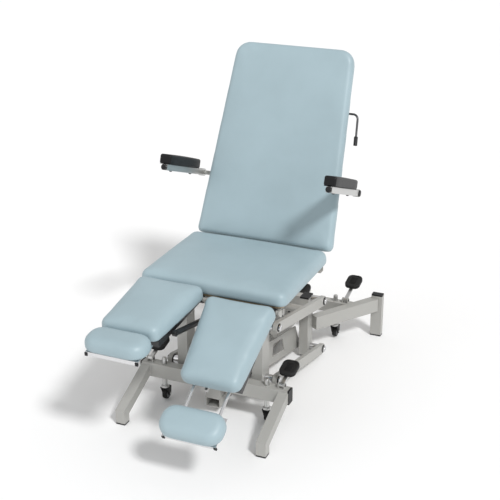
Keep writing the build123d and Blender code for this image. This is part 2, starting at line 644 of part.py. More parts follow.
carriage_uprights = []
carriage_size = (CARRIAGE_X[1] - CARRIAGE_X[0], CARRIAGE_Y[1] - CARRIAGE_Y[0])
for side in SIDES.values():
    with BuildPart() as upright:
        with BuildSketch(Plane.XY.offset(CARRIAGE_Z[0])):
            with Locations((side * sum(CARRIAGE_X) / 2, at(sum(CARRIAGE_Y) / 2))):
                Rectangle(*carriage_size)
                Rectangle(*(width - 2 * TUBE_WALL for width in carriage_size), mode=Mode.SUBTRACT)
        extrude(amount=CARRIAGE_Z[1] - CARRIAGE_Z[0])
        with BuildSketch(Plane.YZ.offset(min(side * CARRIAGE_X[0], side * CARRIAGE_X[1]))):
            with Locations((at(LOWER_FRONT[0]), LOWER_FRONT[1]), (at(UPPER_FRONT[0]), UPPER_FRONT[1])):
                Circle(PIN_RADIUS + PIN_CLEARANCE)
        extrude(amount=CARRIAGE_X[1] - CARRIAGE_X[0], mode=Mode.SUBTRACT)
    carriage_uprights.append(upright.part)
for beam_z in ((200.0, 240.0), (440.0, 480.0)):
    carriage_uprights.append(tube_x((-CARRIAGE_X[0], CARRIAGE_X[0]), (304.0, 344.0), beam_z))
save_group(carriage_uprights, "carriage_uprights")

back_strut_foot = turned(BACK_PIVOT, -BACK_STRUT_ANGLE, BACK_STRUT_RADIUS)
leg_strut_foot = turned(LEG_PIVOT, -(180 - LEG_STRUT_ANGLE), LEG_STRUT_RADIUS)
STRUT_PIN = 6.0
BACK_HINGE_X = (200.0, 246.0)

seat_frame = [
    tube_x((-SEAT_FRAME_HALF, SEAT_FRAME_HALF), FRONT_TUBE_Y, SEAT_FRAME_Z),
    tube_x((-SEAT_FRAME_HALF, SEAT_FRAME_HALF), REAR_TUBE_Y, SEAT_FRAME_Z),
    tube_x((-SEAT_RAIL_X[0], SEAT_RAIL_X[0]), MIDDLE_TUBE_Y, SEAT_FRAME_Z),
    rod_x((-292, 292), *LEG_PIVOT, LEG_SHAFT_RADIUS),
]
for side in SIDES.values():
    seat_frame.append(tube_y((side * SEAT_RAIL_X[0], side * SEAT_RAIL_X[1]),
                             (FRONT_TUBE_Y[1], REAR_TUBE_Y[0]), SEAT_FRAME_Z))
    # rear lugs reach back to the backrest's hinge pins
    hinge_lug = [(REAR_TUBE_Y[1], SEAT_FRAME_Z[0]), (BACK_PIVOT[0] + 4, BACK_PIVOT[1] - 16),
                 (BACK_PIVOT[0] + 16, BACK_PIVOT[1]), (BACK_PIVOT[0] + 8, BACK_PIVOT[1] + 14),
                 (REAR_TUBE_Y[1], SEAT_FRAME_Z[1])]
    with BuildPart() as rear_lug:
        add(plate_x((side * (BACK_HINGE_X[1] - LUG), side * BACK_HINGE_X[1]), hinge_lug))
        add(rod_x((side * BACK_HINGE_X[0], side * BACK_HINGE_X[1]), *BACK_PIVOT, PIN_RADIUS))
    seat_frame.append(rear_lug.part)
# front lugs hold the leg sections' shaft
for lug_x in ((-292, -286), (-12, 12), (286, 292)):
    lug = [(FRONT_TUBE_Y[0], SEAT_FRAME_Z[0]), (LEG_PIVOT[0] - 8, LEG_PIVOT[1] - 12),
           (LEG_PIVOT[0] - 14, LEG_PIVOT[1]), (LEG_PIVOT[0] - 8, LEG_PIVOT[1] + 12),
           (FRONT_TUBE_Y[0], SEAT_FRAME_Z[1])]
    seat_frame.append(plate_x(lug_x, lug, [(*LEG_PIVOT, LEG_SHAFT_RADIUS)]))
# a bracket under the middle tube carries both leg struts, one under the rear tube the backrest's strut
with BuildPart() as leg_strut_bracket:
    foot_y, foot_z = leg_strut_foot
    add(plate_x((-7, 7), [(MIDDLE_TUBE_Y[0], SEAT_FRAME_Z[0]), (foot_y - 12, foot_z - 8),
                          (foot_y + 12, foot_z - 8), (MIDDLE_TUBE_Y[1], SEAT_FRAME_Z[0])]))
    add(rod_x((-32, 32), *leg_strut_foot, STRUT_PIN))
seat_frame.append(leg_strut_bracket.part)
BACK_BRACKET_X = (BACK_STRUT_X - 20, BACK_STRUT_X - 12)
with BuildPart() as back_strut_bracket:
    foot_y, foot_z = back_strut_foot
    add(plate_x(BACK_BRACKET_X, [(REAR_TUBE_Y[0], SEAT_FRAME_Z[0]), (foot_y - 14, foot_z - 8),
                                 (foot_y + 10, foot_z - 8), (foot_y + 10, foot_z + 14),
                                 (REAR_TUBE_Y[1], SEAT_FRAME_Z[0])]))
    add(rod_x((BACK_BRACKET_X[0], BACK_STRUT_X + 12), *back_strut_foot, STRUT_PIN))
seat_frame.append(back_strut_bracket.part)
save_group(seat_frame, "seat_frame")

with BuildPart() as seat_board:
    add(box((-290, 290), (226, 700), (SEAT_FRAME_Z[1], SEAT_BOARD_TOP)))
    fillet(seat_board.edges().filter_by(Axis.Z), 30)
save(seat_board.part, "seat_board")

with BuildPart() as seat_cushion:
    add(box((-SEAT_HALF_WIDTH, SEAT_HALF_WIDTH), SEAT_Y, (SEAT_BOARD_TOP, SEAT_TOP)))
    fillet(seat_cushion.edges().filter_by(Axis.Z), 35)
    fillet(seat_cushion.edges().group_by(Axis.Z)[-1], 18)
    fillet(seat_cushion.edges().group_by(Axis.Z)[0], 12)
save(seat_cushion.part, "seat_cushion")

# ---- backrest, drawn on a plane that lies along it ------------------------------------------
back_dir = (0, cos(radians(BACK_ANGLE)), sin(radians(BACK_ANGLE)))
back_front = (0, -back_dir[2], back_dir[1])        # out of the backrest's front face
back_plane = Plane(origin=(0, at(BACK_PIVOT[0]), BACK_PIVOT[1]), x_dir=(1, 0, 0), z_dir=back_front)
# on this plane +X is across the chair and local Y runs along the backrest


def on_back(along, out=0.0):
    """A side-view point given along the backrest from its pivot, and out of its front face."""
    return (BACK_PIVOT[0] + along * back_dir[1] + out * back_front[1],
            BACK_PIVOT[1] + along * back_dir[2] + out * back_front[2])


def back_slab(half_widths, along, out, radius):
    """A tapered slab with round corners, part of the backrest."""
    low, high = along
    with BuildPart() as slab:
        with BuildSketch(back_plane.offset(out[0])):
            with BuildLine():
                Polyline([(-half_widths[0], low), (half_widths[0], low), (half_widths[1], high),
                          (-half_widths[1], high)], close=True)
            make_face()
            fillet(vertices(), radius)
        extrude(amount=out[1] - out[0])
    return slab.part


def back_bar(x, along, out):
    """A straight frame tube of the backrest, as a solid bar."""
    with BuildPart() as bar:
        with BuildSketch(back_plane.offset(out[0])):
            with Locations((sum(x) / 2, sum(along) / 2)):
                Rectangle(abs(x[1] - x[0]), along[1] - along[0])
        extrude(amount=out[1] - out[0])
    return bar.part


BACK_RAIL_X = (206.0, 230.0)
BACK_FRAME = (-10.0, 15.0)
ARMREST_PIVOT = on_back(ARMREST_PIVOT_U)
ARMREST_PIN = 7.0
ARMREST_STUB = 9.0
BAR_SIZE = 25.0
LEVER_ALONG = 612.0
LEVER_RADIUS = 4.5
back_strut_head = on_back(BACK_STRUT_RADIUS)

with BuildPart() as backrest_cushion:
    add(back_slab(BACK_HALF_WIDTH, BACK_LENGTH, BACK_CUSHION, 62))
    fillet(backrest_cushion.faces().sort_by(Axis(origin=(0, 0, 0), direction=back_front))[-1].edges(), 16)
save(backrest_cushion.part, "backrest_cushion")
save(back_slab((282, 242), (35, 850), (15, 25), 50), "backrest_board")

backrest_frame = [
    back_bar((-BACK_RAIL_X[0], BACK_RAIL_X[0]), (35, 60), BACK_FRAME),
    back_bar((-BACK_RAIL_X[0], BACK_RAIL_X[0]), (770, 795), BACK_FRAME),
    back_bar((-BACK_RAIL_X[0], BACK_RAIL_X[0]), (BACK_STRUT_RADIUS + 25, BACK_STRUT_RADIUS + 50), BACK_FRAME),
]
for side in SIDES.values():
    with BuildPart() as rail:
        add(back_bar((side * BACK_RAIL_X[0], side * BACK_RAIL_X[1]), (10, 795), BACK_FRAME))
        add(rod_x((side * BACK_RAIL_X[0], side * BACK_RAIL_X[1]), *BACK_PIVOT, 16))
        add(rod_x((side * BACK_RAIL_X[0], side * BACK_RAIL_X[1]), *BACK_PIVOT, PIN_RADIUS + PIN_CLEARANCE),
            mode=Mode.SUBTRACT)
        stub_end = side * (ARMREST_X - BAR_SIZE / 2 - 1)
        add(rod_x((side * BACK_RAIL_X[1], stub_end), *ARMREST_PIVOT, ARMREST_STUB))
        add(rod_x((side * BACK_RAIL_X[1], side * (ARMREST_X + BAR_SIZE / 2)), *ARMREST_PIVOT, ARMREST_PIN))
        if side > 0:
            add(rod_x(BACK_RAIL_X, *on_back(LEVER_ALONG, 2), LEVER_RADIUS + PIN_CLEARANCE),
                mode=Mode.SUBTRACT)
    backrest_frame.append(rail.part)
with BuildPart() as strut_head:
    add(back_bar(BACK_BRACKET_X, (BACK_STRUT_RADIUS - 12, BACK_STRUT_RADIUS + 25), (-8, 8)))
    add(rod_x((BACK_BRACKET_X[0], BACK_STRUT_X + 12), *back_strut_head, STRUT_PIN))
backrest_frame.append(strut_head.part)
save_group(backrest_frame, "backrest_frame")

GAS_TUBE = 11.0
GAS_ROD = 5.0
GAS_BORE = 5.6
STRUT_EYE = STRUT_PIN + PIN_CLEARANCE
save(strut(BACK_STRUT_X, back_strut_foot, back_strut_head, 8, 205, GAS_TUBE, 12, STRUT_EYE, 16,
           bore=GAS_BORE, bore_from=16), "backrest_strut_tube")
save(strut(BACK_STRUT_X, back_strut_head, back_strut_foot, 8, 224, GAS_ROD, 11, STRUT_EYE, 16),
     "backrest_strut_rod")

# recline lever: a bent rod with a grip, on the patient's left
LEVER_X = 306.0
LEVER_DROP = 104.0
lever_y, lever_z = on_back(LEVER_ALONG, 2)
with BuildPart() as recline_lever:
    with BuildLine() as lever_path:
        FilletPolyline((BACK_RAIL_X[0] - 16, at(lever_y), lever_z), (LEVER_X, at(lever_y), lever_z),
                       (LEVER_X + 8, at(lever_y) - LEVER_DROP * back_dir[1],
                        lever_z - LEVER_DROP * back_dir[2]), radius=22)
    with BuildSketch(Plane(origin=lever_path.line @ 0, z_dir=lever_path.line % 0)):
        Circle(LEVER_RADIUS)
    sweep()
    with BuildSketch(Plane(origin=lever_path.line @ 1, z_dir=lever_path.line % 1).offset(-6)):
        Circle(8)
    extrude(amount=30)
save(recline_lever.part, "recline_lever")

# ---- armrests -------------------------------------------------------------------------------
arm_dir = (0, -cos(radians(ARMREST_ANGLE)), sin(radians(ARMREST_ANGLE)))
arm_top = (0, arm_dir[2], -arm_dir[1])
for name, side in SIDES.items():
    arm_origin = (side * ARMREST_X, at(ARMREST_PIVOT[0]), ARMREST_PIVOT[1])
    arm_plane = Plane(origin=arm_origin, x_dir=arm_dir, z_dir=arm_top)
    with BuildPart() as bar:
        with BuildSketch(arm_plane.offset(-BAR_SIZE / 2)):
            with Locations((ARMREST_LENGTH / 2, 0)):
                Rectangle(ARMREST_LENGTH, BAR_SIZE)
        extrude(amount=BAR_SIZE)
        add(rod_x((side * (ARMREST_X - BAR_SIZE / 2), side * (ARMREST_X + BAR_SIZE / 2)), *ARMREST_PIVOT, 16))
        add(rod_x((side * (ARMREST_X - BAR_SIZE / 2), side * (ARMREST_X + BAR_SIZE / 2)), *ARMREST_PIVOT,
                  ARMREST_PIN + PIN_CLEARANCE), mode=Mode.SUBTRACT)
        # the round plug in the bar's front end
        with BuildSketch(Plane(origin=arm_origin, x_dir=(1, 0, 0), z_dir=arm_dir).offset(ARMREST_LENGTH)):
            Circle(12)
        extrude(amount=9)
    save(bar.part, f"armrest_bar_{name}")

    pad_width, pad_length, pad_height = ARMREST_PAD
    with BuildPart() as pad:
        with BuildSketch(arm_plane.offset(BAR_SIZE / 2)):
            with Locations((ARMREST_LENGTH + 6 - pad_length / 2, 0)):
                RectangleRounded(pad_length, pad_width, 8)
        extrude(amount=pad_height)
        fillet(pad.faces().sort_by(Axis(origin=(0, 0, 0), direction=arm_top))[-1].edges(), 6)
    save(pad.part, f"armrest_pad_{name}")

# ---- leg sections ---------------------------------------------------------------------------
BARREL_HALF = 124.0
LEG_RAIL = (95.0, 115.0)       # outer rails, from the leg's centre line
LEG_RAIL_OUT = (-8.0, 17.0)
GUIDE = (328.0, 356.0)         # block that guides the foot rest's rods
ROD_RADIUS = 6.0
ROD_OUT = 4.0
KNOB_OFFSET = 30.0
FOOT_PLATE_START = 384.0
FOOT_ROD_START = 130.0

for name, side in SIDES.items():
    tilt = radians(LEG_TILT[name])
    leg_along = (0, -cos(tilt), -sin(tilt))
    leg_out_dir = (0, -sin(tilt), cos(tilt))
    # local X across the chair, local Y from foot to seat; so distances along the leg are negative Y
    leg_plane = Plane(origin=(side * LEG_CENTRE_X, at(LEG_PIVOT[0]), LEG_PIVOT[1]), x_dir=(1, 0, 0),
                      z_dir=leg_out_dir)
    leg_section = Plane(origin=leg_plane.origin, x_dir=(1, 0, 0), z_dir=leg_along)
    inward = -side
    pull = FOOT_REST_PULL[name]

    def leg_bar(across, along, out):
        """A straight bar of one leg section, between limits across, along and out of it."""
        with BuildPart() as bar:
            with BuildSketch(leg_plane.offset(out[0])):
                with Locations((sum(across) / 2, -sum(along) / 2)):
                    Rectangle(abs(across[1] - across[0]), along[1] - along[0])
            extrude(amount=out[1] - out[0])
        return bar.part

    def on_leg(along):
        """A side-view point along the leg section's centre line."""
        return (LEG_PIVOT[0] + along * leg_along[1], LEG_PIVOT[1] + along * leg_along[2])

    centre = side * LEG_CENTRE_X
    strut_head = on_leg(LEG_STRUT_RADIUS)
    with BuildPart() as barrel:
        add(rod_x((centre - BARREL_HALF, centre + BARREL_HALF), *LEG_PIVOT, 15,
                  bore=LEG_SHAFT_RADIUS + PIN_CLEARANCE))
    with BuildPart() as guide:
        add(leg_bar((-LEG_RAIL[1], LEG_RAIL[1]), GUIDE, LEG_RAIL_OUT))
        with BuildSketch(leg_section.offset(GUIDE[0])):
            with Locations((-FOOT_ROD_OFFSET, ROD_OUT), (FOOT_ROD_OFFSET, ROD_OUT)):
                Circle(ROD_RADIUS + PIN_CLEARANCE)
        extrude(amount=GUIDE[1] - GUIDE[0], mode=Mode.SUBTRACT)
        with BuildSketch(leg_plane.offset(LEG_RAIL_OUT[0])):
            with Locations((inward * KNOB_OFFSET, -sum(GUIDE) / 2)):
                Circle(KINGPIN_RADIUS + PIN_CLEARANCE)
        extrude(amount=14, mode=Mode.SUBTRACT)
    leg_frame = [barrel.part, guide.part]
    for edge in (-1, 1):
        leg_frame.append(leg_bar((edge * LEG_RAIL[0], edge * LEG_RAIL[1]), (16, GUIDE[0]), LEG_RAIL_OUT))
    strut_pin_x = (side * (LEG_STRUT_X - 12), centre + inward * LEG_RAIL[1])
    leg_frame.append(rod_x(strut_pin_x, *strut_head, STRUT_PIN))
    save_group(leg_frame, f"leg_frame_{name}")

    with BuildPart() as cushion:
        with BuildSketch(leg_plane.offset(LEG_CUSHION[0])):
            with BuildLine():
                near, far = -LEG_CUSHION_LENGTH[0], -LEG_CUSHION_LENGTH[1]
                Polyline([(-LEG_CUSHION_WIDTH[0] / 2, near), (LEG_CUSHION_WIDTH[0] / 2, near),
                          (LEG_CUSHION_WIDTH[1] / 2, far), (-LEG_CUSHION_WIDTH[1] / 2, far)], close=True)
            make_face()
            fillet(vertices(), 26)
        extrude(amount=LEG_CUSHION[1] - LEG_CUSHION[0])
        fillet(cushion.faces().sort_by(Axis(origin=(0, 0, 0), direction=leg_out_dir))[-1].edges(), 18)
    save(cushion.part, f"leg_cushion_{name}")

    strut_x = side * LEG_STRUT_X
    save(strut(strut_x, strut_head, leg_strut_foot, 8, 270, GAS_TUBE, 12, STRUT_PIN + PIN_CLEARANCE, 14,
               bore=GAS_BORE, bore_from=16), f"leg_strut_tube_{name}")
    save(strut(strut_x, leg_strut_foot, strut_head, 8, 330, GAS_ROD, 11, STRUT_PIN + PIN_CLEARANCE, 14),
         f"leg_strut_rod_{name}")

    with BuildPart() as knob:
        with BuildSketch(leg_plane.offset(LEG_RAIL_OUT[0] - 14)):
            with Locations((inward * KNOB_OFFSET, -sum(GUIDE) / 2)):
                Circle(KINGPIN_RADIUS)
        extrude(amount=22)
        with BuildSketch(leg_plane.offset(LEG_RAIL_OUT[0] - 26)):
            with Locations((inward * KNOB_OFFSET, -sum(GUIDE) / 2)):
                Circle(9)
                Rectangle(10, 46)
        extrude(amount=16)
    save(knob.part, f"foot_rest_knob_{name}")

    # foot rest: a plate with a front lip on two rods, and its cushion
    cushion_along = (FOOT_PLATE_START + pull, FOOT_PLATE_START + pull + FOOT_CUSHION[1])
    plate_along = (cushion_along[0], cushion_along[1] - 8)
    plate_across = (-FOOT_CUSHION[0] / 2 + 19, FOOT_CUSHION[0] / 2 - 19)
    foot_frame = [leg_bar(plate_across, plate_along, (12, 16)),
                  leg_bar(plate_across, (plate_along[1] - 4, plate_along[1]), (0, 12))]
    rod_length = FOOT_PLATE_START - FOOT_ROD_START
    for edge in (-1, 1):
        with BuildPart() as rod:
            with BuildSketch(leg_section.offset(FOOT_ROD_START + pull)):
                with Locations((edge * FOOT_ROD_OFFSET, ROD_OUT)):
                    Circle(ROD_RADIUS)
            extrude(amount=rod_length + 110)
            add(leg_bar((edge * FOOT_ROD_OFFSET - 5, edge * FOOT_ROD_OFFSET + 5),
                        (plate_along[0] + 20, plate_along[0] + 100), (ROD_OUT + 5, 12)))
        foot_frame.append(rod.part)
    save_group(foot_frame, f"foot_rest_frame_{name}")

    with BuildPart() as foot_cushion:
        with BuildSketch(leg_plane.offset(16)):
            with Locations((0, -sum(cushion_along) / 2)):
                RectangleRounded(FOOT_CUSHION[0], FOOT_CUSHION[1], 45)
        extrude(amount=FOOT_CUSHION[2])
        fillet(foot_cushion.faces().sort_by(Axis(origin=(0, 0, 0), direction=leg_out_dir))[-1].edges(), 24)
    save(foot_cushion.part, f"foot_rest_cushion_{name}")
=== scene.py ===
"""The finished look of a podiatry examination chair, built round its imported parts.

Lengths are in metres in the chair's own frame: +Z up, +Y towards the back and +X towards the
patient's left. Each class below is one finish or one sub-assembly of the chair.
"""
import json
import logging
import math
from dataclasses import dataclass, field
from enum import Enum
from typing import Any, Optional, Sequence, Union

import bmesh
import bpy
from mathutils import Matrix, Vector


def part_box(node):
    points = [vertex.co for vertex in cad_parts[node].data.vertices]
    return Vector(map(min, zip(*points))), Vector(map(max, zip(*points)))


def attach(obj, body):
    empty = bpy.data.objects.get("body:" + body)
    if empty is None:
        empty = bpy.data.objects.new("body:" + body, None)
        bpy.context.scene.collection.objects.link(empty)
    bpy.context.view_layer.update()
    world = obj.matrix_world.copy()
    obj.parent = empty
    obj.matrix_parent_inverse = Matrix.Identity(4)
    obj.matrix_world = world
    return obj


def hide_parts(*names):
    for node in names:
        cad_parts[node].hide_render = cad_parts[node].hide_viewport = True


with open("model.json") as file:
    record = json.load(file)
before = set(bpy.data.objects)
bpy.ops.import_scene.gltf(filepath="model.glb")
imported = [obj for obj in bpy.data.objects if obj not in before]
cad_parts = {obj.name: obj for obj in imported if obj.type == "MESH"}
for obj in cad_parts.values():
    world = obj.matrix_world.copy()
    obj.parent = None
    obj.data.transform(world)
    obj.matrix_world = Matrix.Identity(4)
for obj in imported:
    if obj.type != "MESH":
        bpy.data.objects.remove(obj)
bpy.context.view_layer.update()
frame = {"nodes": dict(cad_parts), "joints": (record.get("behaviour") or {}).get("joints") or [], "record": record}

LOG = logging.getLogger("chair")
Point = Sequence[float]
Profile = Sequence[tuple[float, float]]

SIDES = {"left": 1.0, "right": -1.0}
CORNERS = ("front_left", "front_right", "rear_left", "rear_right")
FRONT = -0.45014                        # Y of the front feet, from which side-view places are taken
BACK_ANGLE = 65.0                       # rise of the backrest, in degrees
ARMREST_ANGLE = -20.0                   # rise of the armrests from front to back, in degrees
LEG_TILT = {"left": 32.0, "right": 5.5}  # rise of the leg sections from front to back, in degrees
LEG_CENTRE = 0.151                      # X of a leg section's centre line
FOOT_REST_PULL = {"left": 0.090, "right": 0.0}
PUFF_FRAMES = 20                        # frames that the cushions' cloth runs for
FACING_DOWN = Matrix.Rotation(math.pi, 4, "X")
FACING_FRONT = Matrix.Rotation(math.radians(90), 4, "X")
FACING_BACK = Matrix.Rotation(math.radians(-90), 4, "X")


class Slot(Enum):
    """The record's material slots."""

    FRAME = "frame_paint"
    VINYL = "upholstery"
    BRIGHT = "bright_steel"
    ZINC = "zinc_steel"
    PLASTIC = "black_plastic"
    RUBBER = "black_rubber"
    BLACK_PAINT = "black_paint"
    ARM_VINYL = "arm_vinyl"
    BOARD = "board"


# ---- shader maths ---------------------------------------------------------------------------
class Wire:
    """A value in a material, on which Python's operators add Math nodes."""

    def __init__(self, sheet: "NodeSheet", socket: bpy.types.NodeSocket) -> None:
        """Keep the socket and the sheet it belongs to."""
        self.sheet = sheet
        self.socket = socket

    def _math(self, operation: str, first: Any, second: Any = 0.0) -> "Wire":
        """Add one Math node.

        Args:
            operation: Blender's name for the sum.
            first: Its first value, a wire or a number.
            second: Its second value.

        Returns:
            The node's result.
        """
        return self.sheet.add("ShaderNodeMath", {"operation": operation}, {0: first, 1: second})

    def __add__(self, other: Any) -> "Wire":
        """Sum."""
        return self._math("ADD", self, other)

    def __radd__(self, other: Any) -> "Wire":
        """Sum with a number on the left."""
        return self._math("ADD", other, self)

    def __sub__(self, other: Any) -> "Wire":
        """Difference."""
        return self._math("SUBTRACT", self, other)

    def __rsub__(self, other: Any) -> "Wire":
        """Difference from a number."""
        return self._math("SUBTRACT", other, self)

    def __mul__(self, other: Any) -> "Wire":
        """Product."""
        return self._math("MULTIPLY", self, other)

    def __rmul__(self, other: Any) -> "Wire":
        """Product with a number on the left."""
        return self._math("MULTIPLY", other, self)

    def __gt__(self, other: Any) -> "Wire":
        """One where this is the greater, else nought."""
        return self._math("GREATER_THAN", self, other)


class NodeSheet:
    """One material and the nodes laid out in it."""

    def __init__(self, name: str) -> None:
        """Start an empty material.

        Args:
            name: The material's name.
        """
        self.material = bpy.data.materials.new(name)
        self.material.use_nodes = True
        self.tree = self.material.node_tree
        self.tree.nodes.clear()

    def add(self, kind: str, settings: dict[str, Any], sockets: dict[Union[str, int], Any],
            output: Union[str, int] = 0) -> Wire:
        """Add one node of any kind.

        Args:
            kind: The node's type.
            settings: Its own settings, set before its sockets. "stops" fills a ramp.
            sockets: Values or wires for its inputs.
            output: Which output to return.

        Returns:
            That output as a wire.
        """
        node = self.tree.nodes.new(kind)
        for key, value in settings.items():
            if key == "stops":
                self._fill_ramp(node.color_ramp, value)
            else:
                setattr(node, key, value)
        for key, value in sockets.items():
            if isinstance(value, Wire):
                self.tree.links.new(value.socket, node.inputs[key])
            else:
                node.inputs[key].default_value = value
        return Wire(self, node.outputs[output]) if len(node.outputs) else Wire(self, node.inputs[0])

    @staticmethod
    def _fill_ramp(ramp: bpy.types.ColorRamp, stops: Sequence[tuple[float, Point]]) -> None:
        """Give a ramp its stops, each a place and a colour."""
        while len(ramp.elements) < len(stops):
            ramp.elements.new(1.0)
        for element, (place, colour) in zip(ramp.elements, stops):
            element.position = place
            element.color = (*colour, 1.0)

    def place(self, stretch: Point = (1.0, 1.0, 1.0), turn: Point = (0.0, 0.0, 0.0)) -> Wire:
        """Object coordinates, stretched and turned."""
        where = self.add("ShaderNodeTexCoord", {}, {}, "Object")
        return self.add("ShaderNodeMapping", {}, {"Vector": where, "Scale": stretch, "Rotation": turn})

    def noise(self, where: Wire, scale: float, detail: float = 3.0, rough: float = 0.5) -> Wire:
        """Soft noise from nought to one."""
        return self.add("ShaderNodeTexNoise", {}, {"Vector": where, "Scale": scale, "Detail": detail,
                                                   "Roughness": rough})

    def cells(self, where: Wire, scale: float, feature: str = "F1") -> Wire:
        """Distance in a field of cells."""
        return self.add("ShaderNodeTexVoronoi", {"feature": feature}, {"Vector": where, "Scale": scale}, "Distance")

    def ramp(self, value: Wire, stops: Sequence[tuple[float, Point]]) -> Wire:
        """A value turned into a colour by stops."""
        return self.add("ShaderNodeValToRGB", {"stops": stops}, {"Fac": value})

    def blend(self, share: Wire, low: Any, high: Any) -> Wire:
        """Mix two colours, each a wire or a tuple."""
        first, second = [(*c, 1.0) if isinstance(c, tuple) else c for c in (low, high)]
        return self.add("ShaderNodeMix", {"data_type": "RGBA"}, {0: share, 6: first, 7: second}, 2)

    def rounded(self, radius: float) -> Wire:
        """Normals of edges eased to a radius."""
        return self.add("ShaderNodeBevel", {"samples": 4}, {"Radius": radius}, "Normal")

    def relief(self, height: Wire, depth: float, strength: float = 1.0, base: Optional[Wire] = None) -> Wire:
        """A bump from a height.

        Args:
            height: The height from nought to one.
            depth: What a height of one stands for, in metres.
            strength: The bump's share.
            base: The normal it is added to.

        Returns:
            The new normal.
        """
        sockets = {"Height": height, "Distance": depth, "Strength": strength}
        if base is not None:
            sockets["Normal"] = base
        return self.add("ShaderNodeBump", {}, sockets)

    def finish(self, sockets: dict[str, Any]) -> bpy.types.Material:
        """Close the material with one Principled shader.

        Args:
            sockets: Its inputs.

        Returns:
            The material.
        """
        shader = self.add("ShaderNodeBsdfPrincipled", {}, sockets)
        self.add("ShaderNodeOutputMaterial", {}, {"Surface": shader})
        return self.material


# ---- finishes -------------------------------------------------------------------------------
@dataclass(frozen=True)
class Vinyl:
    """Coated upholstery fabric with a fine pressed grain."""

    name: str
    colour: tuple[float, float, float]
    grain: float = 620.0
    roughness: float = 0.46
    depth: float = 0.00035
    gloss: float = 0.5

    def build(self) -> bpy.types.Material:
        """Make the material."""
        s = NodeSheet(self.name)
        where = s.place()
        cloud = s.noise(where, 3.2, 4.0, 0.55)
        rubbed = s.noise(where, 14.0, 5.0, 0.62)
        pores = s.cells(where, self.grain)
        creases = s.cells(where, self.grain * 0.43, "SMOOTH_F1")
        fine = s.noise(where, self.grain * 2.6, 2.0)
        deep = tuple(c * 0.93 for c in self.colour)
        pale = tuple(min(1.0, c * 1.05 + 0.004) for c in self.colour)
        body = s.ramp(cloud, [(0.32, deep), (0.5, self.colour), (0.7, pale)])
        # pore_shade_mask marks the grain's pores: the colour below darkens them as painted shade in the recesses, and
        # the roughness rises there too
        pore_shade_mask = (0.42 - pores) * 0.55
        colour = s.blend(pore_shade_mask, body, tuple(c * 0.8 for c in self.colour))
        height = pores * 0.5 + creases * 0.4 + fine * 0.2
        return s.finish({
            "Base Color": colour,
            "Roughness": self.roughness - 0.06 + rubbed * 0.12 + pore_shade_mask * 0.1,
            "Normal": s.relief(height, self.depth, 0.5),
            "Coat Weight": rubbed * (0.28 * self.gloss), "Coat Roughness": 0.34, "IOR": 1.5,
            "Specular IOR Level": self.gloss,
        })


@dataclass(frozen=True)
class PowderCoat:
    """Baked powder paint with its orange-peel skin, a little dust and rubbed spots."""

    name: str
    colour: tuple[float, float, float]
    roughness: float = 0.42
    wear: float = 0.25

    def build(self) -> bpy.types.Material:
        """Make the material."""
        s = NodeSheet(self.name)
        where = s.place()
        peel = s.noise(where, 420.0, 2.0, 0.4)
        speck = s.cells(where, 1500.0)
        cloud = s.noise(where, 5.0, 4.0, 0.6)
        scuff = s.noise(s.place((1.0, 6.0, 1.0), (0.3, 0.2, 0.4)), 26.0, 6.0, 0.7)
        marks = (scuff > 0.66) * self.wear * 0.5
        deep = tuple(c * 0.95 for c in self.colour)
        pale = tuple(min(1.0, c * 1.04) for c in self.colour)
        dusty = s.blend(marks, s.blend(cloud, deep, pale), tuple(c * 0.86 for c in self.colour))
        return s.finish({
            "Base Color": dusty,
            "Roughness": self.roughness + cloud * 0.08 + marks * 0.4,
            "Normal": s.relief(peel + speck * 0.3, 0.00022, 0.35, s.rounded(0.0018)),
            "Coat Weight": 0.15, "Coat Roughness": 0.25,
        })


@dataclass(frozen=True)
class Steel:
    """Bare or plated steel with fine drawn lines along one direction."""

    name: str
    colour: tuple[float, float, float]
    roughness: float = 0.22
    lines: tuple[float, float, float] = (4.0, 900.0, 900.0)
    scratch: float = 0.12

    def build(self) -> bpy.types.Material:
        """Make the material."""
        s = NodeSheet(self.name)
        drawn = s.noise(s.place(self.lines), 1.0, 4.0, 0.6)
        bloom = s.noise(s.place(), 32.0, 4.0, 0.6)
        tone = s.blend(bloom, tuple(c * 0.88 for c in self.colour), self.colour)
        lined = s.blend(drawn * self.scratch * 2.0, tone, tuple(c * 0.72 for c in self.colour))
        return s.finish({
            "Base Color": lined, "Metallic": 1.0,
            "Roughness": self.roughness - self.scratch * 0.5 + drawn * self.scratch + bloom * 0.1,
            "Normal": s.relief(drawn, 0.00006, 0.4, s.rounded(0.0008)),
        })


@dataclass(frozen=True)
class Moulded:
    """Moulded plastic or rubber with a spark-eroded texture and paler handled spots."""

    name: str
    colour: tuple[float, float, float]
    roughness: float = 0.5
    grain: float = 1100.0
    depth: float = 0.00025
    dust: float = 0.2

    def build(self) -> bpy.types.Material:
        """Make the material."""
        s = NodeSheet(self.name)
        where = s.place()
        spark = s.cells(where, self.grain)
        fine = s.noise(where, self.grain * 0.6, 3.0, 0.6)
        handled = s.noise(where, 22.0, 5.0, 0.65)
        pale = tuple(min(1.0, c * 1.5 + 0.008) for c in self.colour)
        colour = s.blend((handled > 0.5) * self.dust * 0.5 + handled * self.dust * 0.3, self.colour, pale)
        return s.finish({
            "Base Color": colour,
            "Roughness": self.roughness + (handled - 0.5) * 0.22 + spark * 0.06,
            "Specular IOR Level": 0.28,
            "Normal": s.relief(spark * 0.6 + fine * 0.5, self.depth, 0.45, s.rounded(0.0012)),
        })


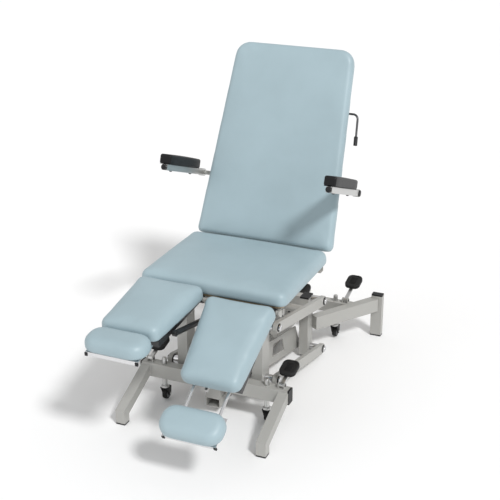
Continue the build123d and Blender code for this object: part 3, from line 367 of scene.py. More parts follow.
@dataclass(frozen=True)
class Plywood:
    """Birch board: straight pale grain, and thin plies where its edge shows."""

    name: str
    colour: tuple[float, float, float]

    def build(self) -> bpy.types.Material:
        """Make the material."""
        s = NodeSheet(self.name)
        grain = s.noise(s.place((60.0, 2.2, 60.0)), 1.0, 6.0, 0.65)
        flecks = s.noise(s.place((420.0, 12.0, 420.0)), 1.0, 3.0, 0.5)
        flame = s.noise(s.place((6.0, 0.8, 6.0)), 2.0, 3.0, 0.5)
        dark = tuple(c * 0.68 for c in self.colour)
        pale = tuple(min(1.0, c * 1.18) for c in self.colour)
        body = s.ramp(grain * 0.7 + flame * 0.3, [(0.3, dark), (0.52, self.colour), (0.75, pale)])
        colour = s.blend(flecks * 0.3, body, dark)
        return s.finish({
            "Base Color": colour, "Roughness": 0.5 + grain * 0.2,
            "Normal": s.relief(grain + flecks * 0.5, 0.0003, 0.4, s.rounded(0.001)),
        })


@dataclass(frozen=True)
class StudioFloor:
    """A plain pale matt floor, very slightly uneven in tone."""

    name: str
    colour: tuple[float, float, float] = (0.93, 0.93, 0.93)

    def build(self) -> bpy.types.Material:
        """Make the material."""
        s = NodeSheet(self.name)
        tone = s.noise(s.place(), 0.6, 2.0)
        colour = s.blend(tone, self.colour, tuple(c * 0.99 for c in self.colour))
        return s.finish({"Base Color": colour, "Roughness": 0.7, "Specular IOR Level": 0.2})


class Finishes:
    """Every finish of the chair, each made once."""

    def __init__(self) -> None:
        """Build the materials."""
        self.vinyl = Vinyl("blue_grey_vinyl", (0.325, 0.425, 0.465)).build()
        self.arm_vinyl = Vinyl("black_arm_vinyl", (0.010, 0.010, 0.011), 760.0, 0.38, 0.0003, 0.2).build()
        self.frame = PowderCoat("pale_powder_coat", (0.385, 0.382, 0.362)).build()
        self.black_paint = PowderCoat("black_powder_coat", (0.012, 0.012, 0.013), 0.34, 0.5).build()
        self.bright = Steel("polished_steel", (0.78, 0.78, 0.79), 0.16).build()
        self.zinc = Steel("zinc_plate", (0.66, 0.66, 0.65), 0.3, (900.0, 6.0, 900.0), 0.16).build()
        self.dark_steel = Steel("blackened_steel", (0.11, 0.11, 0.115), 0.34).build()
        self.plastic = Moulded("black_plastic", (0.012, 0.012, 0.013), 0.42).build()
        self.rubber = Moulded("black_rubber", (0.014, 0.014, 0.014), 0.62, 700.0, 0.0004, 0.3).build()
        self.grey_plastic = Moulded("grey_plastic", (0.2, 0.2, 0.205), 0.45, 900.0).build()
        self.board = Plywood("birch_board", (0.56, 0.42, 0.26)).build()
        self.floor = StudioFloor("studio_floor").build()
        self.by_slot = {
            Slot.FRAME: self.frame, Slot.VINYL: self.vinyl, Slot.BRIGHT: self.bright,
            Slot.ZINC: self.zinc, Slot.PLASTIC: self.plastic, Slot.RUBBER: self.rubber,
            Slot.BLACK_PAINT: self.black_paint, Slot.ARM_VINYL: self.arm_vinyl, Slot.BOARD: self.board,
        }

    def dress_cad(self) -> None:
        """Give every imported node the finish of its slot."""
        slots = {row["node"]: Slot(row["material_slot"]) for row in frame["record"]["subparts"]}
        for node, obj in frame["nodes"].items():
            finish = self.dark_steel if node == "recline_lever" else self.by_slot[slots[node]]
            for place in obj.material_slots:
                place.material = finish
            if not obj.material_slots:
                obj.data.materials.append(finish)
        LOG.info("dressed %d packed nodes", len(slots))


# ---- shapes ---------------------------------------------------------------------------------
def tilted(origin: Point, angle: float) -> Matrix:
    """A frame in the side view: local X across, local Y rising backwards at an angle, Z out of it.

    Args:
        origin: Where its own origin lies.
        angle: Rise of local Y above the horizontal, in degrees.

    Returns:
        The matrix from that frame to the chair's.
    """
    return Matrix.Translation(origin) @ Matrix.Rotation(math.radians(angle), 4, "X")


def aimed(origin: Point, direction: Point) -> Matrix:
    """A frame whose Z points along a direction."""
    return Matrix.Translation(origin) @ Vector(direction).to_track_quat("Z", "Y").to_matrix().to_4x4()


def shifted(x: float, y: float, z: float) -> Matrix:
    """A frame moved along its own axes."""
    return Matrix.Translation((x, y, z))


def joint_at(name: str) -> Vector:
    """Where a joint's pivot lies."""
    return Vector(next(j for j in frame["joints"] if j["name"] == name)["pos_m"])


def leg_place(side: str) -> Matrix:
    """A leg section's own frame, on its hinge. Distances towards the foot are negative along Y."""
    pivot = joint_at(f"leg_tilt_{side}")
    return tilted((SIDES[side] * LEG_CENTRE, pivot.y, pivot.z), LEG_TILT[side])


def ring(inner: float, outer: float, height: float) -> list[tuple[float, float]]:
    """The profile of a plain ring that stands on its frame.

    Args:
        inner: Its bore's radius.
        outer: Its own radius.
        height: Its height.

    Returns:
        Radii and heights, round and back to the start.
    """
    return [(inner, 0.0), (outer, 0.0), (outer, height), (inner, height), (inner, 0.0)]


class Blank:
    """A mesh in the making, and the few moves that the pieces share."""

    def __init__(self, name: str) -> None:
        """Start empty.

        Args:
            name: The finished piece's name.
        """
        self.name = name
        self.bm = bmesh.new()

    def block(self, size: Point, frame_of: Matrix, radius: float = 0.0, segments: int = 3) -> None:
        """A block with eased edges, centred on a frame.

        Args:
            size: Its three sizes.
            frame_of: Where it stands.
            radius: The edges' radius.
            segments: Faces round each edge.
        """
        verts = bmesh.ops.create_cube(self.bm, size=1.0)["verts"]
        bmesh.ops.scale(self.bm, vec=size, verts=verts)
        edges = {e for v in verts for e in v.link_edges}
        bmesh.ops.transform(self.bm, matrix=frame_of, verts=verts)
        if radius:
            bmesh.ops.bevel(self.bm, geom=list(edges), offset=radius, offset_type="OFFSET", affect="EDGES",
                            segments=segments, profile=0.5, material=-1, clamp_overlap=True)

    def turned(self, profile: Profile, frame_of: Matrix, steps: int = 32) -> None:
        """A turned shape: a profile of radius and height spun about the frame's Z.

        Args:
            profile: Radii and heights, in order.
            frame_of: Where the axis stands.
            steps: Faces round the turn.
        """
        lathe = bmesh.new()
        verts = [lathe.verts.new((r, 0.0, h)) for r, h in profile]
        edges = [lathe.edges.new(pair) for pair in zip(verts, verts[1:])]
        bmesh.ops.spin(lathe, geom=verts + edges, cent=(0, 0, 0), axis=(0, 0, 1), dvec=(0, 0, 0),
                       angle=2 * math.pi, steps=steps, use_merge=True)
        bmesh.ops.remove_doubles(lathe, verts=lathe.verts, dist=1e-6)
        bmesh.ops.recalc_face_normals(lathe, faces=lathe.faces)
        self.absorb(lathe, frame_of)

    def absorb(self, other: bmesh.types.BMesh, frame_of: Matrix) -> None:
        """Add another mesh in the making, and free it.

        Args:
            other: The mesh to add.
            frame_of: Where it goes.
        """
        bmesh.ops.transform(other, matrix=frame_of, verts=other.verts)
        carrier = bpy.data.meshes.new("carrier")
        other.to_mesh(carrier)
        other.free()
        self.bm.from_mesh(carrier)
        bpy.data.meshes.remove(carrier)

    def knob(self, radius: float, height: float, frame_of: Matrix, ease: float = 0.0015) -> None:
        """A round boss with an eased rim, standing on its frame.

        Args:
            radius: Its radius.
            height: Its height.
            frame_of: Where it stands.
            ease: The rim's radius.
        """
        shoulder = ease * (1 - math.cos(math.pi / 4))
        self.turned([(0.0, 0.0), (radius, 0.0), (radius, height - ease), (radius - shoulder, height - shoulder),
                     (radius - ease, height), (0.0, height)], frame_of)

    def bolt(self, size: float, frame_of: Matrix) -> None:
        """A domed bolt head with a round recess, on its washer.

        Args:
            size: The thread's diameter.
            frame_of: Where it stands.
        """
        outline = [(0.0, 0.0), (1.25, 0.0), (1.25, 0.18), (0.95, 0.2), (0.93, 0.42), (0.78, 0.62), (0.46, 0.72),
                   (0.42, 0.7), (0.42, 0.36), (0.0, 0.36)]
        self.turned([(size * r, size * h) for r, h in outline], frame_of, 24)

    def bead(self, start: Point, end: Point, radius: float) -> None:
        """A weld bead of overlapping ripples between two points.

        Args:
            start: One end.
            end: The other.
            radius: The bead's radius.
        """
        run = Vector(end) - Vector(start)
        count = max(4, int(run.length / (radius * 0.9)))
        profile = [(0.0, -radius * 0.5)]
        for step in range(count + 1):
            place = run.length * step / count
            profile += [(radius * 0.84, place - radius * 0.3), (radius, place)]
        profile.append((0.0, run.length + radius * 0.5))
        self.turned(profile, aimed(start, run), 10)

    def done(self, material: bpy.types.Material, body: str, slot: Slot, replaces: Sequence[str] = (),
             smooth: float = 40.0) -> bpy.types.Object:
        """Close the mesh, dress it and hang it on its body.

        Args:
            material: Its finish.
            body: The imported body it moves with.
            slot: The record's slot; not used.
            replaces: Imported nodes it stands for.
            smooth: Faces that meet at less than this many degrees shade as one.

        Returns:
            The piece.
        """
        bmesh.ops.remove_doubles(self.bm, verts=self.bm.verts, dist=1e-6)
        bmesh.ops.recalc_face_normals(self.bm, faces=self.bm.faces)
        mesh = bpy.data.meshes.new(self.name)
        self.bm.to_mesh(mesh)
        self.bm.free()
        mesh.polygons.foreach_set("use_smooth", [True] * len(mesh.polygons))
        mesh.set_sharp_from_angle(angle=math.radians(smooth))
        return hang(bpy.data.objects.new(self.name, mesh), material, body, replaces)


def hang(piece: bpy.types.Object, material: bpy.types.Material, body: str,
         replaces: Sequence[str] = ()) -> bpy.types.Object:
    """Link a piece, dress it and hang it on its body.

    Args:
        piece: The new object.
        material: Its finish.
        body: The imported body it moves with.
        replaces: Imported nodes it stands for.

    Returns:
        The piece.
    """
    if piece.name not in bpy.context.scene.objects:
        bpy.context.scene.collection.objects.link(piece)
    piece.data.materials.clear()
    piece.data.materials.append(material)
    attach(piece, body)
    if replaces:
        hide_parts(*replaces)
    LOG.info("made %s", piece.name)
    return piece


# ---- upholstery -----------------------------------------------------------------------------
@dataclass
class Cushion:
    """One padded piece: a tapered slab, blown up as cloth over its board and crowned."""

    name: str
    node: str
    body: str
    place: Matrix
    near_half: float
    far_half: float
    length: float
    thickness: float
    corner: float
    top_round: float
    crown: float
    voxel: float = 0.006
    cap: float = 0.010
    pressure: float = 4.0
    fill: float = 0.7
    shrink: float = 0.0012
    near_corner: Optional[float] = None
    keep: float = 0.35
    piece: Optional[bpy.types.Object] = None
    start: list[Vector] = field(default_factory=list)

    def shell(self) -> bpy.types.Object:
        """The slab in its own frame, from y 0 to its length and z 0 to its thickness.

        Returns:
            The unlinked object, remeshed evenly.
        """
        bm = bmesh.new()
        verts = bmesh.ops.create_cube(bm, size=1.0)["verts"]
        inset = self.shrink
        bmesh.ops.translate(bm, vec=(0.0, 0.5, 0.5), verts=verts)
        bmesh.ops.scale(bm, vec=(2 * (self.near_half - inset), self.length - 2 * inset, self.thickness - inset),
                        verts=verts)
        bmesh.ops.translate(bm, vec=(0.0, inset, 0.0), verts=verts)
        far = [v for v in verts if v.co.y > self.length / 2]
        bmesh.ops.scale(bm, vec=((self.far_half - inset) / (self.near_half - inset), 1.0, 1.0), verts=far)
        upright = [e for e in bm.edges if abs(e.verts[0].co.z - e.verts[1].co.z) > 0.5 * self.thickness]
        near = [e for e in upright if e.verts[0].co.y < self.length / 2]
        far_edges = [e for e in upright if e not in near]
        for edges, radius in ((near, self.near_corner or self.corner), (far_edges, self.corner)):
            bmesh.ops.bevel(bm, geom=edges, offset=radius, offset_type="OFFSET", affect="EDGES", segments=10,
                            profile=0.5, material=-1, clamp_overlap=True)
        top_z = self.thickness - inset - 1e-5
        top = [e for e in bm.edges if all(v.co.z > top_z for v in e.verts)]
        bmesh.ops.bevel(bm, geom=top, offset=self.top_round, offset_type="OFFSET", affect="EDGES", segments=8,
                        profile=0.5, material=-1, clamp_overlap=True)
        low = [e for e in bm.edges if all(v.co.z < 1e-5 for v in e.verts)]
        bmesh.ops.bevel(bm, geom=low, offset=min(0.008, self.top_round), offset_type="OFFSET", affect="EDGES",
                        segments=4, profile=0.5, material=-1, clamp_overlap=True)
        mesh = bpy.data.meshes.new(self.name + "_slab")
        bm.to_mesh(mesh)
        bm.free()
        slab = bpy.data.objects.new(self.name + "_slab", mesh)
        bpy.context.scene.collection.objects.link(slab)
        even = slab.modifiers.new("Even", "REMESH")
        even.mode = "VOXEL"
        even.voxel_size = self.voxel
        made = settled_mesh(slab, self.name)
        bpy.data.objects.remove(slab)
        return made

    def dome(self, piece: bpy.types.Object) -> None:
        """Raise the top to its crown, and roll the far end down a little.

        Args:
            piece: The even shell, in the cushion's own frame.
        """
        for vertex in piece.data.vertices:
            co = vertex.co
            half = self.near_half + (self.far_half - self.near_half) * co.y / self.length
            across = max(0.0, 1.0 - (co.x / half) ** 2)
            along = max(0.0, 1.0 - (2.0 * co.y / self.length - 1.0) ** 2)
            share = max(0.0, min(1.0, co.z / self.thickness))
            co.z += self.crown * share ** 1.5 * (across ** 0.75) * (along ** 0.75)

    def blow_up(self) -> None:
        """Add the cloth that puffs the shell, held where it is glued to its board."""
        piece = self.piece
        self.start = [v.co.copy() for v in piece.data.vertices]
        glued = piece.vertex_groups.new(name="glued")
        glued.add([v.index for v in piece.data.vertices if v.co.z < 0.003], 1.0, "REPLACE")
        cloth = piece.modifiers.new("Puff", "CLOTH")
        cloth.settings.use_pressure = True
        cloth.settings.uniform_pressure_force = self.pressure
        cloth.settings.effector_weights.gravity = 0.0
        cloth.settings.vertex_group_mass = "glued"
        cloth.settings.tension_stiffness = 25.0
        cloth.settings.compression_stiffness = 25.0
        cloth.settings.bending_stiffness = 2.0
        cloth.settings.quality = 4
        cloth.point_cache.frame_start = 1
        cloth.point_cache.frame_end = PUFF_FRAMES

    def settle(self) -> None:
        """Bake the cloth, cap how far it moved, and put the cushion in its place."""
        piece = self.piece
        if self.start:
            puffed = settled_mesh(piece, self.name + "_puffed", link=False)
            for vertex, was in zip(puffed.data.vertices, self.start):
                moved = vertex.co - was
                if moved.length > self.cap:
                    moved = moved.normalized() * self.cap
                vertex.co = was + moved * self.keep
                vertex.co.z = max(vertex.co.z, 0.0)
            piece.modifiers.clear()
            piece.data = puffed.data
            piece.vertex_groups.clear()
            bpy.data.objects.remove(puffed)
        bm = bmesh.new()
        bm.from_mesh(piece.data)
        for _ in range(4):
            bmesh.ops.smooth_vert(bm, verts=bm.verts, factor=0.5, use_axis_x=True, use_axis_y=True,
                                  use_axis_z=True)
        bmesh.ops.recalc_face_normals(bm, faces=bm.faces)
        bmesh.ops.transform(bm, matrix=self.place, verts=bm.verts)
        bm.to_mesh(piece.data)
        bm.free()
        piece.data.polygons.foreach_set("use_smooth", [True] * len(piece.data.polygons))
        finer = piece.modifiers.new("Finer", "SUBSURF")
        finer.levels = finer.render_levels = 1


def settled_mesh(obj: bpy.types.Object, name: str, link: bool = True) -> bpy.types.Object:
    """A new object that holds an object's mesh with its modifiers applied.

    Args:
        obj: The object to read.
        name: The new object's name.
        link: Whether it joins the scene.

    Returns:
        The new object.
    """
    graph = bpy.context.evaluated_depsgraph_get()
    graph.update()
    made = bpy.data.objects.new(name, bpy.data.meshes.new_from_object(obj.evaluated_get(graph)))
    if link:
        bpy.context.scene.collection.objects.link(made)
    return made


class Upholstery:
    """All the padded pieces: seat, backrest, leg sections, foot rests and arm pads."""

    def __init__(self, finishes: Finishes) -> None:
        """Lay out the cushions.

        Args:
            finishes: The chair's finishes.
        """
        self.finishes = finishes
        low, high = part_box("seat_cushion")
        back = tilted(joint_at("recline"), BACK_ANGLE)
        self.cushions = [
            Cushion("seat_pad", "seat_cushion", "carriage", tilted((0.0, low.y, low.z), 0.0), high.x, high.x,
                    high.y - low.y, high.z - low.z, 0.035, 0.024, 0.014, voxel=0.0075, cap=0.010),
            Cushion("backrest_pad", "backrest_cushion", "backrest", back @ shifted(0.0, 0.020, 0.025),
                    0.312, 0.268, 0.852, 0.047, 0.062, 0.020, 0.006, voxel=0.0075, cap=0.008,
                    near_corner=0.026),
        ]
        for side in SIDES:
            towards_foot = leg_place(side) @ Matrix.Rotation(math.pi, 4, "Z")
            self.cushions += [
                Cushion(f"leg_pad_{side}", f"leg_cushion_{side}", f"leg_{side}",
                        towards_foot @ shifted(0.0, 0.010, 0.017), 0.144, 0.119, 0.368, 0.058,
                        0.030, 0.024, 0.012, voxel=0.0058, cap=0.009),
                Cushion(f"foot_pad_{side}", f"foot_rest_cushion_{side}", f"foot_rest_{side}",
                        towards_foot @ shifted(0.0, 0.384 + FOOT_REST_PULL[side], 0.016), 0.125, 0.125, 0.126,
                        0.054, 0.054, 0.030, 0.004, voxel=0.0048, cap=0.007),
            ]

    def build(self) -> None:
        """Make every cushion, with one run of the cloth for them all, and the arm pads."""
        for cushion in self.cushions:
            cushion.piece = cushion.shell()
            cushion.dome(cushion.piece)
            cushion.blow_up()
        for step in range(1, PUFF_FRAMES + 1):
            bpy.context.scene.frame_set(step)
        for cushion in self.cushions:
            cushion.settle()
            hang(cushion.piece, self.finishes.vinyl, cushion.body, [cushion.node])
        bpy.context.scene.frame_set(1)
        for side in SIDES:
            self.arm_pad(side)

    def arm_pad(self, side: str) -> None:
        """One firm arm pad on its bar, crowned along and across its top.

        Args:
            side: Which side it is on.
        """
        middle, height, crown = -0.231, 0.040, 0.003
        place = tilted(joint_at(f"armrest_raise_{side}"), ARMREST_ANGLE)
        blank = Blank(f"arm_pad_{side}")
        blank.block((0.050, 0.300, height), place @ shifted(0.0, middle, 0.0125 + height / 2), 0.0085, 5)
        bmesh.ops.subdivide_edges(blank.bm, edges=[e for e in blank.bm.edges if e.calc_length() > 0.02],
                                  cuts=6, use_grid_fill=True)
        lift = (place.to_3x3() @ Vector((0, 0, 1))).normalized()
        for vertex in blank.bm.verts:
            local = place.inverted() @ vertex.co
            share = max(0.0, (local.z - 0.035) / 0.0175)
            bow = (1 - (local.x / 0.03) ** 2) * (1 - ((local.y - middle) / 0.17) ** 2)
            vertex.co += lift * crown * share * max(0.0, bow)
        pad = blank.done(self.finishes.arm_vinyl, f"armrest_{side}", Slot.ARM_VINYL, [f"armrest_pad_{side}"], 60.0)


# ---- running gear ---------------------------------------------------------------------------
@dataclass
class Castors:
    """The four castors: a rounded tyre on a dished hub, and the cover on each swivel."""

    finishes: Finishes
    radius: float = 0.025
    half_width: float = 0.010
    yoke_face: float = 0.017
    collar_foot: float = 0.0635

    def tyre(self, corner: str, axle: Matrix) -> None:
        """One tyre with a shallow tread groove on each shoulder."""
        r, w, bore = self.radius, self.half_width, 0.0175
        blank = Blank(f"castor_tyre_{corner}")
        blank.turned([(bore, -w), (r - 0.005, -w), (r - 0.0016, -w + 0.0014), (r - 0.0002, -w + 0.004),
                      (r, -0.0040), (r - 0.0010, -0.0034), (r, -0.0028), (r, 0.0028), (r - 0.0010, 0.0034),
                      (r, 0.0040), (r - 0.0002, w - 0.004), (r - 0.0016, w - 0.0014), (r - 0.005, w),
                      (bore, w), (bore, -w)], axle, 56)
        blank.done(self.finishes.rubber, f"castor_wheel_{corner}", Slot.RUBBER, [f"castor_wheel_{corner}"])

    def hub(self, corner: str, axle: Matrix) -> None:
        """One hub with a web, a rim on each face and a bored boss."""
        w, bore, boss, web = self.half_width, 0.0041, 0.0085, self.half_width - 0.0035
        blank = Blank(f"castor_hub_{corner}")
        blank.turned([(bore, -w), (boss, -w), (boss, -web), (0.0150, -web), (0.0158, -w + 0.0005),
                      (0.0176, -w + 0.0004), (0.0176, w - 0.0004), (0.0158, w - 0.0005), (0.0150, web),
                      (boss, web), (boss, w), (bore, w), (bore, -w)], axle, 40)
        blank.done(self.finishes.grey_plastic, f"castor_wheel_{corner}", Slot.PLASTIC)

    def axle_ends(self, corner: str, at: Vector) -> None:
        """A domed nut on each end of the axle."""
        blank = Blank(f"castor_axle_{corner}")
        for sign in SIDES.values():
            blank.bolt(0.0042, aimed(at + Vector((sign * self.yoke_face, 0, 0)), (sign, 0, 0)))
        blank.done(self.finishes.zinc, f"castor_yoke_{corner}", Slot.ZINC)

    def collar(self, corner: str, at: Vector) -> None:
        """The cup that keeps dust out of the swivel, and the stem's lock nut above its crossbar."""
        blank = Blank(f"castor_collar_{corner}")
        blank.turned([(0.0132, 0.0), (0.0165, 0.0), (0.0172, 0.0012), (0.0168, 0.005), (0.0140, 0.0085),
                      (0.0132, 0.0085), (0.0132, 0.0)], shifted(at.x, at.y, self.collar_foot), 40)
        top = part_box(f"castor_stem_{corner}")[1].z
        blank.turned([(0.0, 0.0), (0.0085, 0.0), (0.0085, 0.0030), (0.0070, 0.0042), (0.0, 0.0046)],
                     shifted(at.x, at.y, top), 24)
        blank.done(self.finishes.zinc, f"castor_stem_{corner}", Slot.ZINC)

    def build(self) -> None:
        """Make all four."""
        for corner in CORNERS:
            hub_at = joint_at(f"wheel_spin_{corner}")
            axle = aimed(hub_at, (1, 0, 0))
            self.tyre(corner, axle)
            self.hub(corner, axle)
            self.axle_ends(corner, hub_at)
            self.collar(corner, joint_at(f"castor_swivel_{corner}"))


@dataclass
class Pedals:
    """The castors' pedals and the pump's pedal: a steel arm under a ribbed rubber pad."""

    finishes: Finishes
    rise: float = 14.0
    front_reach: float = 0.086
    rear_reach: float = 0.120
    pad: tuple[float, float, float] = (0.068, 0.084, 0.020)
    ribs: int = 7
    hub_half: float = 0.009
    pump_hub_half: float = 0.007

    def rubber_pad(self, name: str, body: str, size: Point, place: Matrix, replaces: Sequence[str]) -> None:
        """One rubber pad with a raised rim, a sunk panel and ribs across it.

        Args:
            name: The piece's name.
            body: The body it moves with.
            size: Its width, length and height.
            place: Its frame, on the pad's underside at its middle.
            replaces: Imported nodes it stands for.
        """
        width, length, height = size
        blank = Blank(name)
        pad = bmesh.new()
        verts = bmesh.ops.create_cube(pad, size=1.0)["verts"]
        bmesh.ops.scale(pad, vec=(width, length, height - 0.001), verts=verts)
        bmesh.ops.translate(pad, vec=(0, 0, height / 2 - 0.0005), verts=verts)
        upright = [e for e in pad.edges if abs(e.verts[0].co.z - e.verts[1].co.z) > height / 2]
        bmesh.ops.bevel(pad, geom=upright, offset=min(width, length) * 0.33, offset_type="OFFSET", affect="EDGES",
                        segments=8, profile=0.5, material=-1, clamp_overlap=True)
        rims = [e for e in pad.edges if abs(e.verts[0].co.z - e.verts[1].co.z) < 1e-5]
        bmesh.ops.bevel(pad, geom=rims, offset=0.004, offset_type="OFFSET", affect="EDGES", segments=4,
                        profile=0.5, material=-1, clamp_overlap=True)
        top = [max(pad.faces, key=lambda f: f.calc_center_median().z)]
        bmesh.ops.inset_region(pad, faces=top, thickness=0.0045, depth=0.0, use_even_offset=True)
        bmesh.ops.inset_region(pad, faces=top, thickness=0.0010, depth=-0.0016, use_even_offset=True)
        blank.absorb(pad, place)
        for rib in range(self.ribs):
            y = (rib - (self.ribs - 1) / 2) * length * 0.082
            blank.block((width * 0.42, length * 0.040, 0.0022), place @ shifted(0.0, y, height - 0.0012), 0.0006, 2)
        blank.done(self.finishes.rubber, body, Slot.RUBBER, replaces, 35.0)

    def castor_pedal(self, corner: str) -> None:
        """One castor pedal on its arm."""
        pivot = joint_at(f"pedal_press_{corner}")
        place = tilted(pivot, self.rise)
        reach = self.front_reach if corner.startswith("front") else self.rear_reach
        self.rubber_pad(f"pedal_pad_{corner}", f"pedal_{corner}", self.pad,
                        place @ shifted(0.0, reach, 0.003), [f"pedal_{corner}"])
        arm = Blank(f"pedal_arm_{corner}")
        arm.block((0.016, reach, 0.008), place @ shifted(0.0, reach / 2, 0.0), 0.0012, 3)
        hub_side = pivot - Vector((self.hub_half, 0.0, 0.0))
        arm.turned(ring(0.0041, 0.009, 2 * self.hub_half), aimed(hub_side, (1, 0, 0)), 32)
        arm.done(self.finishes.zinc, f"pedal_{corner}", Slot.ZINC)
        pin = Blank(f"pedal_pin_{corner}")
        for sign in SIDES.values():
            pin.bolt(0.0048, aimed(pivot + Vector((sign * 0.014, 0, 0)), (sign, 0, 0)))
        pin.done(self.finishes.dark_steel, "base", Slot.ZINC)

    def pump_pedal(self) -> None:
        """The pump's longer pedal: a level bar from its pivot, a rising bar, and the pad."""
        pivot = joint_at("pump_pedal_press")
        lever = Blank("pump_lever")
        hub_side = pivot - Vector((self.pump_hub_half, 0.0, 0.0))
        lever.turned(ring(0.0081, 0.014, 2 * self.pump_hub_half), aimed(hub_side, (1, 0, 0)), 36)
        for (y0, z0), (y1, z1) in (((0.975, 0.103), (1.100, 0.101)), ((1.096, 0.100), (1.214, 0.142))):
            start, end = Vector((pivot.x, FRONT + y0, z0)), Vector((pivot.x, FRONT + y1, z1))
            angle = math.degrees(math.atan2(end.z - start.z, end.y - start.y))
            lever.block((0.0138, (end - start).length, 0.012), tilted((start + end) / 2, angle), 0.002, 3)
        lever.done(self.finishes.zinc, "pump_pedal", Slot.ZINC)
        self.rubber_pad("pump_pad", "pump_pedal", (0.070, 0.062, 0.018),
                        tilted((0.015, FRONT + 1.200, 0.142), 20.0), ["pump_pedal"])

    def build(self) -> None:
        """Make all the pedals."""
        for corner in CORNERS:
            self.castor_pedal(corner)
        self.pump_pedal()


# ---- trim -----------------------------------------------------------------------------------
@dataclass
class LiftTrim:
    """The lift's washers and end caps, the ram's gland, and the pump's fittings."""

    finishes: Finishes
    arm_face: float = 0.240
    arm_depth: float = 0.018
    arm_spacing: float = 0.231
    barrel_end: float = 0.1862

    def pivots(self) -> dict[str, list[Vector]]:
        """Each arm body's pivots, in the side view."""
        low_front, rise = joint_at("carriage_level"), Vector((0.0, 0.0, self.arm_spacing))
        return {"lower_arm": [joint_at("lift"), low_front],
                "upper_arm": [joint_at("upper_arm_swing"), low_front + rise]}

    def caps(self) -> None:
        """A black washer and a bright domed cap over every pivot."""
        washer = [(0.0132, 0.0), (0.0165, 0.0), (0.0165, 0.0022), (0.0158, 0.003), (0.0132, 0.003), (0.0132, 0.0)]
        dome = [(0.0, 0.0072), (0.0130, 0.0072), (0.0129, 0.0082), (0.0112, 0.0096), (0.0062, 0.0104),
                (0.0058, 0.0090), (0.0, 0.0090)]
        for body, points in self.pivots().items():
            washers, domes = Blank(f"{body}_washers"), Blank(f"{body}_caps")
            for point in points:
                for sign in SIDES.values():
                    out = aimed((sign * self.arm_face, point.y, point.z), (sign, 0, 0))
                    washers.turned(washer, out, 40)
                    domes.turned(dome, out, 40)
                    inner = aimed((sign * (self.arm_face - self.arm_depth), point.y, point.z), (-sign, 0, 0))
                    washers.turned(ring(0.0161, 0.0190, 0.0028), inner, 40)
            washers.done(self.finishes.plastic, body, Slot.PLASTIC)
            domes.done(self.finishes.bright, body, Slot.BRIGHT)

    def ram(self) -> None:
        """The ram's gland nut, and the bands round its barrel."""
        foot, head = joint_at("ram_swing"), joint_at("ram_rod_swing")
        along = (head - foot).normalized()
        gland = Blank("ram_gland")
        gland.turned([(0.0112, 0.0), (0.0215, 0.0), (0.0215, 0.0045), (0.0175, 0.0060), (0.0150, 0.0100),
                      (0.0112, 0.0100), (0.0112, 0.0)], aimed(foot + along * self.barrel_end, along), 40)
        gland.done(self.finishes.bright, "ram_cylinder", Slot.BRIGHT)
        bands = Blank("ram_bands")
        for place in (0.040, 0.172):
            bands.turned([(0.0221, 0.0), (0.0228, 0.0008), (0.0228, 0.0062), (0.0221, 0.0070)],
                         aimed(foot + along * place, along), 40)
        bands.done(self.finishes.dark_steel, "ram_cylinder", Slot.ZINC)

    def pump(self) -> None:
        """Four bolts on the pump's plate, and the filler plug on its top."""
        low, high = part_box("pump_block")
        bolts = Blank("pump_bolts")
        for x in (-0.024, 0.024):
            for y in (low.y + 0.008, high.y - 0.008):
                bolts.bolt(0.005, shifted(x, y, 0.118))
        bolts.done(self.finishes.dark_steel, "base", Slot.ZINC)
        plug = Blank("pump_filler")
        plug.knob(0.009, 0.006, shifted(0.0, FRONT + 0.950, high.z), 0.002)
        plug.done(self.finishes.plastic, "base", Slot.PLASTIC)

    def build(self) -> None:
        """Make it all."""
        self.caps()
        self.ram()
        self.pump()


@dataclass
class StrutTrim:
    """The seal caps of the gas struts and the clips on their eyes."""

    finishes: Finishes

    def seal(self, name: str, body: str, eye: Vector, far: Vector, end: float, x: float) -> None:
        """One seal cap where the rod leaves its tube.

        Args:
            name: The piece's name.
            body: The tube's body.
            eye: The tube's pivot.
            far: The rod's pivot.
            end: The tube's end, from its own pivot.
            x: Where the strut stands across the chair.
        """
        start = Vector((x, eye.y, eye.z))
        along = Vector((0.0, far.y - eye.y, far.z - eye.z)).normalized()
        blank = Blank(name)
        blank.turned([(0.0057, 0.0), (0.0108, 0.0), (0.0108, 0.0016), (0.0090, 0.0040), (0.0064, 0.0046),
                      (0.0057, 0.0046), (0.0057, 0.0)], aimed(start + along * end, along), 32)
        blank.done(self.finishes.plastic, body, Slot.PLASTIC)

    def clip(self, name: str, body: str, pin: Vector, x: float, sign: float) -> None:
        """The domed clip on the end of a pin.

        Args:
            name: The piece's name.
            body: The body that holds the pin.
            pin: The pin's place in the side view.
            x: The pin's free end.
            sign: Which way it points.
        """
        blank = Blank(name)
        blank.knob(0.0078, 0.0024, aimed((x, pin.y, pin.z), (sign, 0, 0)), 0.0008)
        blank.done(self.finishes.dark_steel, body, Slot.ZINC)

    def build(self) -> None:
        """Make the trim of all three struts."""
        tube_pin, rod_pin = joint_at("backrest_strut_swing"), joint_at("backrest_rod_swing")
        self.seal("backrest_strut_seal", "backrest_strut_tube", tube_pin, rod_pin, 0.2051, 0.080)
        self.clip("backrest_strut_clip", "carriage", tube_pin, 0.0921, 1.0)
        self.clip("backrest_rod_clip", "backrest", rod_pin, 0.0921, 1.0)
        for side, sign in SIDES.items():
            tube_pin, rod_pin = joint_at(f"leg_strut_swing_{side}"), joint_at(f"leg_rod_swing_{side}")
            self.seal(f"leg_strut_seal_{side}", f"leg_strut_tube_{side}", tube_pin, rod_pin, 0.2701, sign * 0.020)
            self.clip(f"leg_strut_clip_{side}", "carriage", rod_pin, sign * 0.0321, sign)


